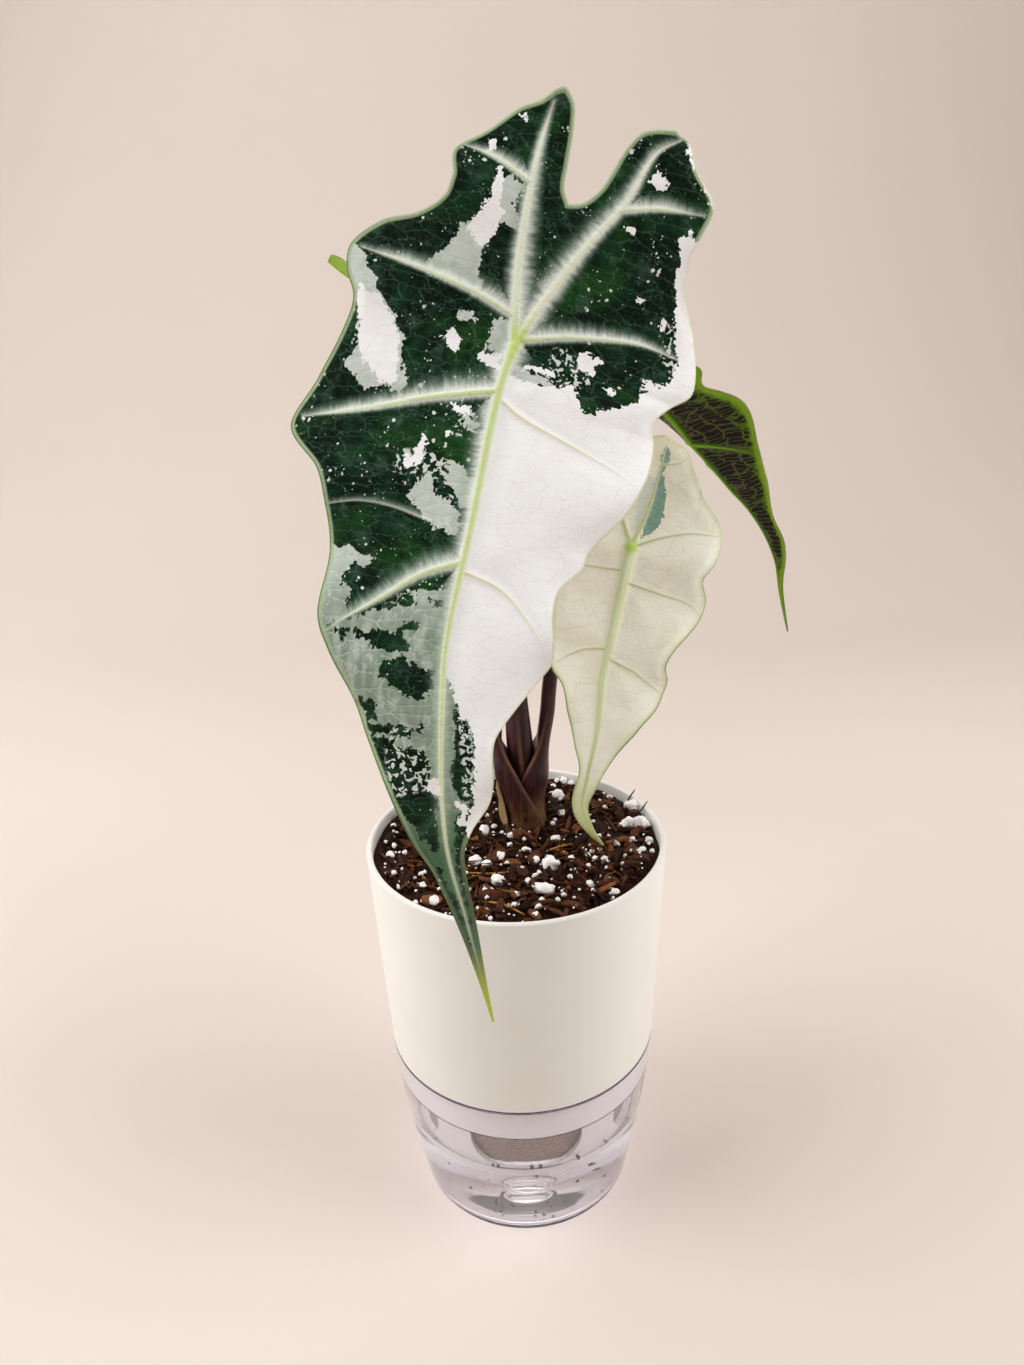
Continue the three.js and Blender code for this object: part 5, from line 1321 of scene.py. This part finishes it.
class StageSettings(bpy.types.PropertyGroup):
    """The studio round the plant."""

    paper_colour: colour_setting(name="Paper colour", description="Seamless background paper",
                                 default=linear("e2d8d1"))
    left_power: power_setting(name="Left light", description="Power of the soft light low on the left",
                              default=3.05)
    left_high_power: power_setting(name="High left light",
                                   description="Power of the soft light high on the left", default=6.4)
    right_power: power_setting(name="Right light", description="Power of the soft light low on the right",
                               default=3.8)
    right_high_power: power_setting(name="High right light",
                                    description="Power of the soft light high on the right", default=5.0)
    back_power: power_setting(name="Back light", description="Power of the soft light behind on the left",
                              default=3.5)
    wall_power: power_setting(name="Wall light", description="Power of the light on the paper high behind",
                              default=4.4)
    floor_power: power_setting(name="Floor light",
                               description="Power of the light that the cup's floor throws up",
                               default=0.02, precision=4)
    world_strength: FloatProperty(name="Room light", description="Strength of the light from all round",
                                  default=0.23)


class ALOCASIA_OT_stage(bpy.types.Operator):
    """Add the camera, the seamless paper and the studio lights"""

    bl_idname = "alocasia.stage"
    bl_label = "Stage and camera"

    def execute(self, context):
        stage = context.scene.alocasia_stage
        scene = context.scene
        camera = bpy.data.objects.new("camera", bpy.data.cameras.new("camera"))
        scene.collection.objects.link(camera)
        pitch, roll, yaw = math.radians(22.39), math.radians(-1.97), math.radians(0.09)
        ahead = Vector((math.sin(yaw) * math.cos(pitch), math.cos(yaw) * math.cos(pitch), -math.sin(pitch)))
        level = ahead.cross(Vector((0, 0, 1))).normalized()
        upward = level.cross(ahead)
        right = level * math.cos(roll) + upward * math.sin(roll)
        above = upward * math.cos(roll) - level * math.sin(roll)
        turn = Matrix((right, above, -ahead)).transposed().to_4x4()
        eye = (0, -0.3242, 0.3488)
        camera.matrix_world = Matrix.Translation(eye) @ turn
        camera.data.sensor_fit = "VERTICAL"
        camera.data.sensor_height = 36
        camera.data.lens = 26.66
        camera.data.clip_start = 0.01
        scene.camera = camera
        scene.view_settings.view_transform = "Standard"
        # Sight lines cross up to nine faces of cup and water before they reach the paper.
        scene.cycles.max_bounces = scene.cycles.transmission_bounces = 24

        # Paper in metres: a floor 0.4 mm below the pot, a bend, and a wall.
        wall_y, bend, top, half_width, below = 1.1, 0.5, 2.4, 2.2, 0.0004
        profile = [(-1.6, 0.0), (-0.4, 0.0), (0.2, 0.0)]
        profile += [(wall_y - bend + y, z) for y, z in arc(0, bend, bend, -90, 0, 24)]
        profile += [(wall_y, top)]
        points = [(x, y, z - below) for y, z in profile for x in (-half_width, half_width)]
        faces = [(2 * k, 2 * k + 1, 2 * k + 3, 2 * k + 2) for k in range(len(profile) - 1)]
        mesh = bpy.data.meshes.new("paper")
        mesh.from_pydata(points, [], faces)
        mesh.materials.append(paper_material(stage))
        mesh.shade_smooth()
        paper = bpy.data.objects.new("paper", mesh)
        scene.collection.objects.link(paper)

        plant, wall, foot = (0, 0, 0.2), (0, 1.1, 1.35), (0, 0, 0.03)
        lights = [
            ("left_light", (-0.9, -0.15, 0.45), plant, 0.8, stage.left_power),
            ("left_high_light", (-0.75, -0.2, 0.95), plant, 0.7, stage.left_high_power),
            ("right_light", (0.9, -0.1, 0.45), plant, 0.8, stage.right_power),
            ("right_high_light", (0.75, -0.2, 0.95), plant, 0.7, stage.right_high_power),
            ("back_light", (-0.9, 0.6, 0.8), plant, 0.7, stage.back_power),
            ("wall_light", (0, 0.35, 1.75), wall, 0.8, stage.wall_power),
            # The light that the cup's floor throws up into the water.
            ("floor_light", (0, 0, 0.0045), foot, 0.05, stage.floor_power),
        ]
        for name, place, target, size, power in lights:
            data = bpy.data.lights.new(name, "AREA")
            data.shape, data.size, data.energy = "SQUARE", size, power
            data.spread = math.radians(80 if target == foot else 180)
            lamp = bpy.data.objects.new(name, data)
            lamp.location = place
            lamp.rotation_euler = (Vector(target) - Vector(place)).to_track_quat("-Z", "Y").to_euler()
            lamp.visible_camera = lamp.visible_glossy = lamp.visible_transmission = False
            scene.collection.objects.link(lamp)
        world = bpy.data.worlds.new("room")
        world.use_nodes = True
        plug(world.node_tree.nodes["Background"], {"Color": "ffe9d6", "Strength": stage.world_strength})
        scene.world = world
        return {"FINISHED"}


class ALOCASIA_OT_pot(bpy.types.Operator):
    """Add the planter, the clear cup and the felt in the foot"""

    bl_idname = "alocasia.pot"
    bl_label = "Pot"

    def execute(self, context):
        pot = context.scene.alocasia_pot
        seam_z, seam = pot.seam_height / MM, pot.seam_radius / MM
        rim, rim_z = RIM_RADIUS / MM, RIM_HEIGHT / MM
        neck, shoulder = seam - 2.3, 57.5
        # From the foot's underside up the outside, over the rim and down the inside.
        profile = [(0, 35), *arc(42.4, 36, 1, -90, -5, 5), (46, shoulder), (neck - 0.15, shoulder),
                   (neck, seam_z)]
        profile += [(seam - 0.4, seam_z), (seam, seam_z + 0.4), *arc(rim - 0.9, rim_z - 0.9, 0.9, 2, 90, 6)]
        profile += [*arc(rim - 1.4, rim_z - 0.7, 0.7, 90, 178, 6),
                    (outside_radius(seam_z + 5, pot) - 2.1, seam_z + 5)]
        profile += [(neck - 2, seam_z + 2), (neck - 2.2, shoulder + 2), (44, shoulder), (41.4, 37), (0, 37)]
        planter = mesh_piece("planter_shell", *turned(profile, 180), cream_plastic_material(pot),
                             "cream_plastic", ["planter"], sharp=30)
        cut_windows(planter, pot)

        top = CUP_HEIGHT / MM
        wall = pot.wall / MM
        heights = np.linspace(10, top - 0.5, 18)
        outside = [(outside_radius(z, pot), z) for z in heights]
        base = pot.base_radius / MM
        ledge = 57.2
        inner = [(outside_radius(z, pot) - wall, z) for z in np.linspace(ledge, 10, 14)]
        profile = [(0, 0), *arc(base - 6, 6, 6, -90, -8, 12), *outside, (seam - 0.3, top),
                   (seam - 1.7, top)]
        profile += [(seam - 2, top - 0.3), (seam - 2.2, ledge + 0.4), (seam - 2.5, ledge),
                    (inner[0][0] + 0.2, ledge)]
        profile += [*inner, *arc(outside_radius(8, pot) - wall - 5, 8, 5, 0, -90, 10)]
        profile += [(6.9, 3), *arc(5.2, 2.9, 1.3, 10, 170, 10), (3.5, 3), (0, 3)]
        mesh_piece("clear_cup", *turned(profile, 180), clear_plastic_material(pot), "clear_plastic",
                   ["reservoir"], sharp=24)

        profile = [(0, 37.3), (41, 37.3), (43.45, 57), (42.05, 57), (39.7, 38.7), (0, 38.7)]
        mesh_piece("felt_lining", *turned(profile, 128), felt_material(), "felt", ["wick_liner"], sharp=40)
        return {"FINISHED"}


class ALOCASIA_OT_water(bpy.types.Operator):
    """Add the water and the crumbs that float and lie in it"""

    bl_idname = "alocasia.water"
    bl_label = "Water"

    def execute(self, context):
        pot = context.scene.alocasia_pot
        level = WATER_HEIGHT / MM
        # The water reaches 0.15 mm into the cup's wall, so that no film of air stands between them.
        into = pot.wall / MM - 0.15

        def wall_at(z):
            return outside_radius(z, pot) - into

        foot = 43.4
        profile = [(0, 2.85), *arc(wall_at(8) - 5, 7.85, 5, -90, 0, 10)]
        profile += [(wall_at(z), z) for z in np.linspace(10, level, 9)]
        profile += [(wall_at(level + 0.9), level + 0.9), (wall_at(level) - 0.6, level + 0.3),
                    (wall_at(level) - 1.6, level)]
        profile += [(foot + 2.4, level), (foot + 1.2, level + 0.25), (foot + 0.45, level + 0.7),
                    (foot - 0.4, level + 0.8)]
        # The water wets the foot, so its surface is drawn inside the plastic.
        profile += [(foot - 0.4, 36.4), (foot - 1.4, 35.4), (0, 35.4)]
        mesh_piece("cup_water", *turned(profile, 160), water_material(), "water", ["water"], sharp=25)

        random = np.random.RandomState(11)
        solids = []
        for angle in FLOATING_SPECKS:
            a = math.radians(angle)
            r = wall_at(level) - 0.5 - 0.5 * random.random()
            size = 0.45 + 0.45 * random.random()
            centre = (r * math.cos(a), r * math.sin(a), level + 0.35)
            solids.append(lump(random, centre, (size * 1.3, size, size * 0.7), a, 0, 4, 6, 0.6))
        for angle, z in SUNKEN_SPECKS:
            a = math.radians(angle)
            r = wall_at(z) - 1.1
            size = 0.45 + 0.4 * random.random()
            solids.append(lump(random, (r * math.cos(a), r * math.sin(a), z), (size * 1.2, size, size), a,
                               0, 4, 6, 0.6))
        for _ in range(26):
            a, r = TAU * random.random(), 8 + 27 * random.random()
            size = 0.25 + 0.45 * random.random() ** 2
            solids.append(lump(random, (r * math.cos(a), r * math.sin(a), 3.25), (size * 1.2, size, size),
                               a, 0, 3, 5, 0.6))
        gathered("water_crumbs", solids, speck_material(), "bark_mix", [])
        return {"FINISHED"}


class ALOCASIA_OT_mix(bpy.types.Operator):
    """Add the potting mix with its bark, fibres and perlite"""

    bl_idname = "alocasia.mix"
    bl_label = "Potting mix"

    def execute(self, context):
        mix = context.scene.alocasia_mix
        random = np.random.RandomState(mix.seed)
        self.add_body()
        self.add_chips(random, mix.chip_count)
        self.add_fibres(random, mix.fibre_count)
        self.add_perlite(random, mix.grain_count)
        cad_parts["rootstock"].data.materials[0] = corm_material()
        return {"FINISHED"}

    def add_body(self):
        """The mix itself: its sides as in the planter, and a crumbly top."""
        sides = 220
        rim = 52.25
        wall = [(0, 39.1), (39.2, 39.1), (41.5, 57.5), (46.3, 61), (46.5, 73.8), (49, 77), (rim, 147)]
        points, faces = turned(wall, sides)
        points = [Vector(p) for p in points]
        ring = len(points) - sides
        radii = [rim - 0.05, *np.arange(rim - 0.8, 1, -0.75)]
        for n, r in enumerate(radii):
            for k in range(sides):
                a = TAU * k / sides
                x, y = r * math.cos(a), r * math.sin(a)
                crumb = noise.fractal((x / 4.5, y / 4.5, 1.7), 0.7, 2.1, 4)
                crumb += 0.45 * noise.noise((x / 1.1, y / 1.1, 5.2))
                points.append(Vector((x, y, mix_height(x, y) - 0.6 + 1.1 * crumb * min(1, n / 3))) * MM)
        for n in range(len(radii)):
            faces += ring_faces(ring + n * sides, ring + (n + 1) * sides, sides)
        top = len(points)
        points.append(Vector((0, 0, mix_height(0, 0) * MM)))
        faces += [[top - sides + k, top - sides + (k + 1) % sides, top] for k in range(sides)]
        mesh_piece("mix_body", points, faces, bark_mix_material(), "bark_mix", ["soil"])

    def spot(self, random, reach, clearance):
        """A random place on the mix, clear of the stalks' foot."""
        while True:
            r, a = reach * math.sqrt(random.random()), TAU * random.random()
            x, y = r * math.cos(a), r * math.sin(a)
            if math.hypot(x - STEM[0], y - STEM[1]) > clearance:
                return x, y

    def add_chips(self, random, count):
        """Bark and husk chips 2 to 12 mm long, thrown flat, some on edge."""
        solids = []
        tones = []
        for _ in range(count):
            x, y = self.spot(random, 50, 10.5)
            length = 1.2 + 4.6 * random.random() ** 2
            width = length * (0.2 + 0.3 * random.random())
            tilt = 0.9 * (random.random() - 0.5)
            height = mix_height(x, y) + 0.1 + 1.5 * random.random()
            near = math.hypot(x, y) + length
            if near > 51:
                x, y = x * (51 - length) / (near - length), y * (51 - length) / (near - length)
            size = (length, width, 0.35 + 0.5 * random.random())
            solids.append(lump(random, (x, y, height), size, TAU * random.random(), tilt, 4, 6, 0.7))
            tones.append(random.random())
        material = chip_material("Bark and husk chips, split", "2a1710", "5a3420", "8f5a30")
        gathered("bark_chips", solids, material, "bark_mix", [], tones)

    def add_fibres(self, random, count):
        """Coir fibres, a few straws and the twigs that stand over the rim."""
        solids = []
        tones = []
        for _ in range(count):
            x, y = self.spot(random, 46, 9)
            a, length = TAU * random.random(), 3 + 11 * random.random()
            bow = 7 * (random.random() - 0.5)
            line = []
            for share in (-0.5, 0, 0.5):
                px = x + length * share * math.cos(a) - bow * (0.5 - abs(share)) * math.sin(a)
                py = y + length * share * math.sin(a) + bow * (0.5 - abs(share)) * math.cos(a)
                shrink = min(1, 50.5 / max(math.hypot(px, py), 1))
                line.append((px * shrink, py * shrink, mix_height(px, py) + 0.6 + 2.0 * random.random()))
            solids.append(thread(line, 0.12 + 0.24 * random.random() ** 2))
            tones.append(0.9 * random.random())
        for lines, radius, tone in ((STRAWS, 0.42, 0.99), (TWIGS, 0.3, 0.2)):
            for line in lines:
                solids.append(thread([(x, y, mix_height(x, y) + up) for x, y, up in line], radius))
                tones.append(tone)
        material = chip_material("Coir fibre and straw", "3a2013", "7a4a26", "d09a4e")
        gathered("coir_fibres", solids, material, "bark_mix", [], tones)

    def add_perlite(self, random, count):
        """Perlite, the large grains in their places and the small ones scattered."""
        solids = []
        for x, y, half_length, half_width in LARGE_GRAINS:
            size = (half_length, half_width, min(half_length, half_width) * 0.85)
            centre = (x, y, mix_height(x, y) + 0.8 + 0.25 * size[2])
            solids.append(lump(random, centre, size, 0.6 * (random.random() - 0.5), 0, 14, 20, 0.03, 0.5))
        for _ in range(count):
            x, y = self.spot(random, 50.5, 10)
            half = 0.28 + 0.9 * random.random() ** 3
            centre = (x, y, mix_height(x, y) + 0.7 + 1.0 * random.random())
            size = (half * (1 + 0.5 * random.random()), half, half * 0.9)
            solids.append(lump(random, centre, size, TAU * random.random(), 0, 7, 9, 0.05, 0.5))
        gathered("perlite_grains", solids, perlite_material(), "bark_mix", [])


class ALOCASIA_OT_stalks(bpy.types.Operator):
    """Add the three leaf stalks and the dry sheath"""

    bl_idname = "alocasia.stalks"
    bl_label = "Stalks"

    def execute(self, context):
        plant = context.scene.alocasia_plant
        material = stalk_material(plant)
        stalk_piece("marbled_stalk", MARBLED_STALK, material, "petiole_marbled")
        stalk_piece("cream_stalk", CREAM_STALK, material, "petiole_cream")
        stalk_piece("dark_stalk", DARK_STALK, material, "petiole_dark")
        self.add_sheath()
        return {"FINISHED"}

    def add_sheath(self):
        """A scrap of an old sheath, curved round the foot and torn at its top."""
        low, high, inner, thick, start, end = 151, 169, 10.6, 0.5, 188, 224
        rows, columns = 26, 22
        points = []
        for offset in (thick, 0):
            for k in range(rows):
                share = k / (rows - 1)
                shrink = 0.425 * share**2
                for i in range(columns):
                    place = i / (columns - 1)
                    torn = high - low + 2.2 * noise.noise((place * 6, 2.2, 0))
                    z = low + torn * share
                    (x, y), = along(YOUNGEST_LINE, z)
                    angle = math.radians(start + (end - start) * (shrink + (1 - 2 * shrink) * place))
                    r = inner + offset + 0.5 * noise.noise((place * 4, share * 3, 7))
                    points.append(Vector((x + r * math.cos(angle), y + r * math.sin(angle), z)) * MM)
        count = rows * columns
        faces = []
        for k in range(rows - 1):
            for i in range(columns - 1):
                a = k * columns + i
                b, c, d = a + 1, a + columns + 1, a + columns
                faces += [(a, b, c, d), (count + a, count + d, count + c, count + b)]
        border = [*range(columns), *range(2 * columns - 1, count, columns)]
        border += [*range(count - 2, count - columns - 1, -1), *range(count - 2 * columns, 0, -columns)]
        faces += [(q, p, count + p, count + q) for p, q in zip(border, border[1:] + border[:1])]
        mesh_piece("sheath_scrap", points, faces, dry_sheath_material(), "dry_leaf", ["dry_sheath"],
                   sharp=50)


class ALOCASIA_OT_leaves(bpy.types.Operator):
    """Add the three leaf blades"""

    bl_idname = "alocasia.leaves"
    bl_label = "Leaves"

    def execute(self, context):
        plant = context.scene.alocasia_plant
        leaf_blade("marbled_blade", MARBLED_LEAF, plant, MARBLED_PATCHES, marbled_blade_material(plant),
                   "marbled_leaf", "leaf_marbled")
        leaf_blade("cream_blade", CREAM_LEAF, plant, CREAM_PATCHES, cream_blade_material(plant),
                   "cream_leaf", "leaf_cream")
        leaf_blade("dark_blade", DARK_LEAF, plant, {}, dark_blade_material(plant), "dark_leaf", "leaf_dark")
        return {"FINISHED"}


class ALOCASIA_PT_panel(bpy.types.Panel):
    """The operators in the order in which they run"""

    bl_idname = "ALOCASIA_PT_panel"
    bl_label = "Alocasia"
    bl_space_type = "VIEW_3D"
    bl_region_type = "UI"
    bl_category = "Alocasia"

    def draw(self, context):
        for name in STEPS:
            self.layout.operator("alocasia." + name)
        for group in SETTINGS:
            box = self.layout.box()
            settings = getattr(context.scene, "alocasia_" + group)
            for prop in settings.bl_rna.properties:
                if prop.identifier not in ("rna_type", "name"):
                    box.prop(settings, prop.identifier)


STEPS = ("stage", "pot", "water", "mix", "stalks", "leaves")
SETTINGS = {"pot": PotSettings, "mix": MixSettings, "plant": PlantSettings, "stage": StageSettings}
CLASSES = (
    *SETTINGS.values(), ALOCASIA_OT_stage, ALOCASIA_OT_pot, ALOCASIA_OT_water, ALOCASIA_OT_mix,
    ALOCASIA_OT_stalks, ALOCASIA_OT_leaves, ALOCASIA_PT_panel,
)


def register():
    for one in CLASSES:
        bpy.utils.register_class(one)
    for name, group in SETTINGS.items():
        setattr(bpy.types.Scene, "alocasia_" + name, PointerProperty(type=group))


def unregister():
    for name in SETTINGS:
        delattr(bpy.types.Scene, "alocasia_" + name)
    for one in reversed(CLASSES):
        bpy.utils.unregister_class(one)


def main():
    register()
    for name in STEPS:
        getattr(bpy.ops.alocasia, name)()


if __name__ == "__main__":
    main()
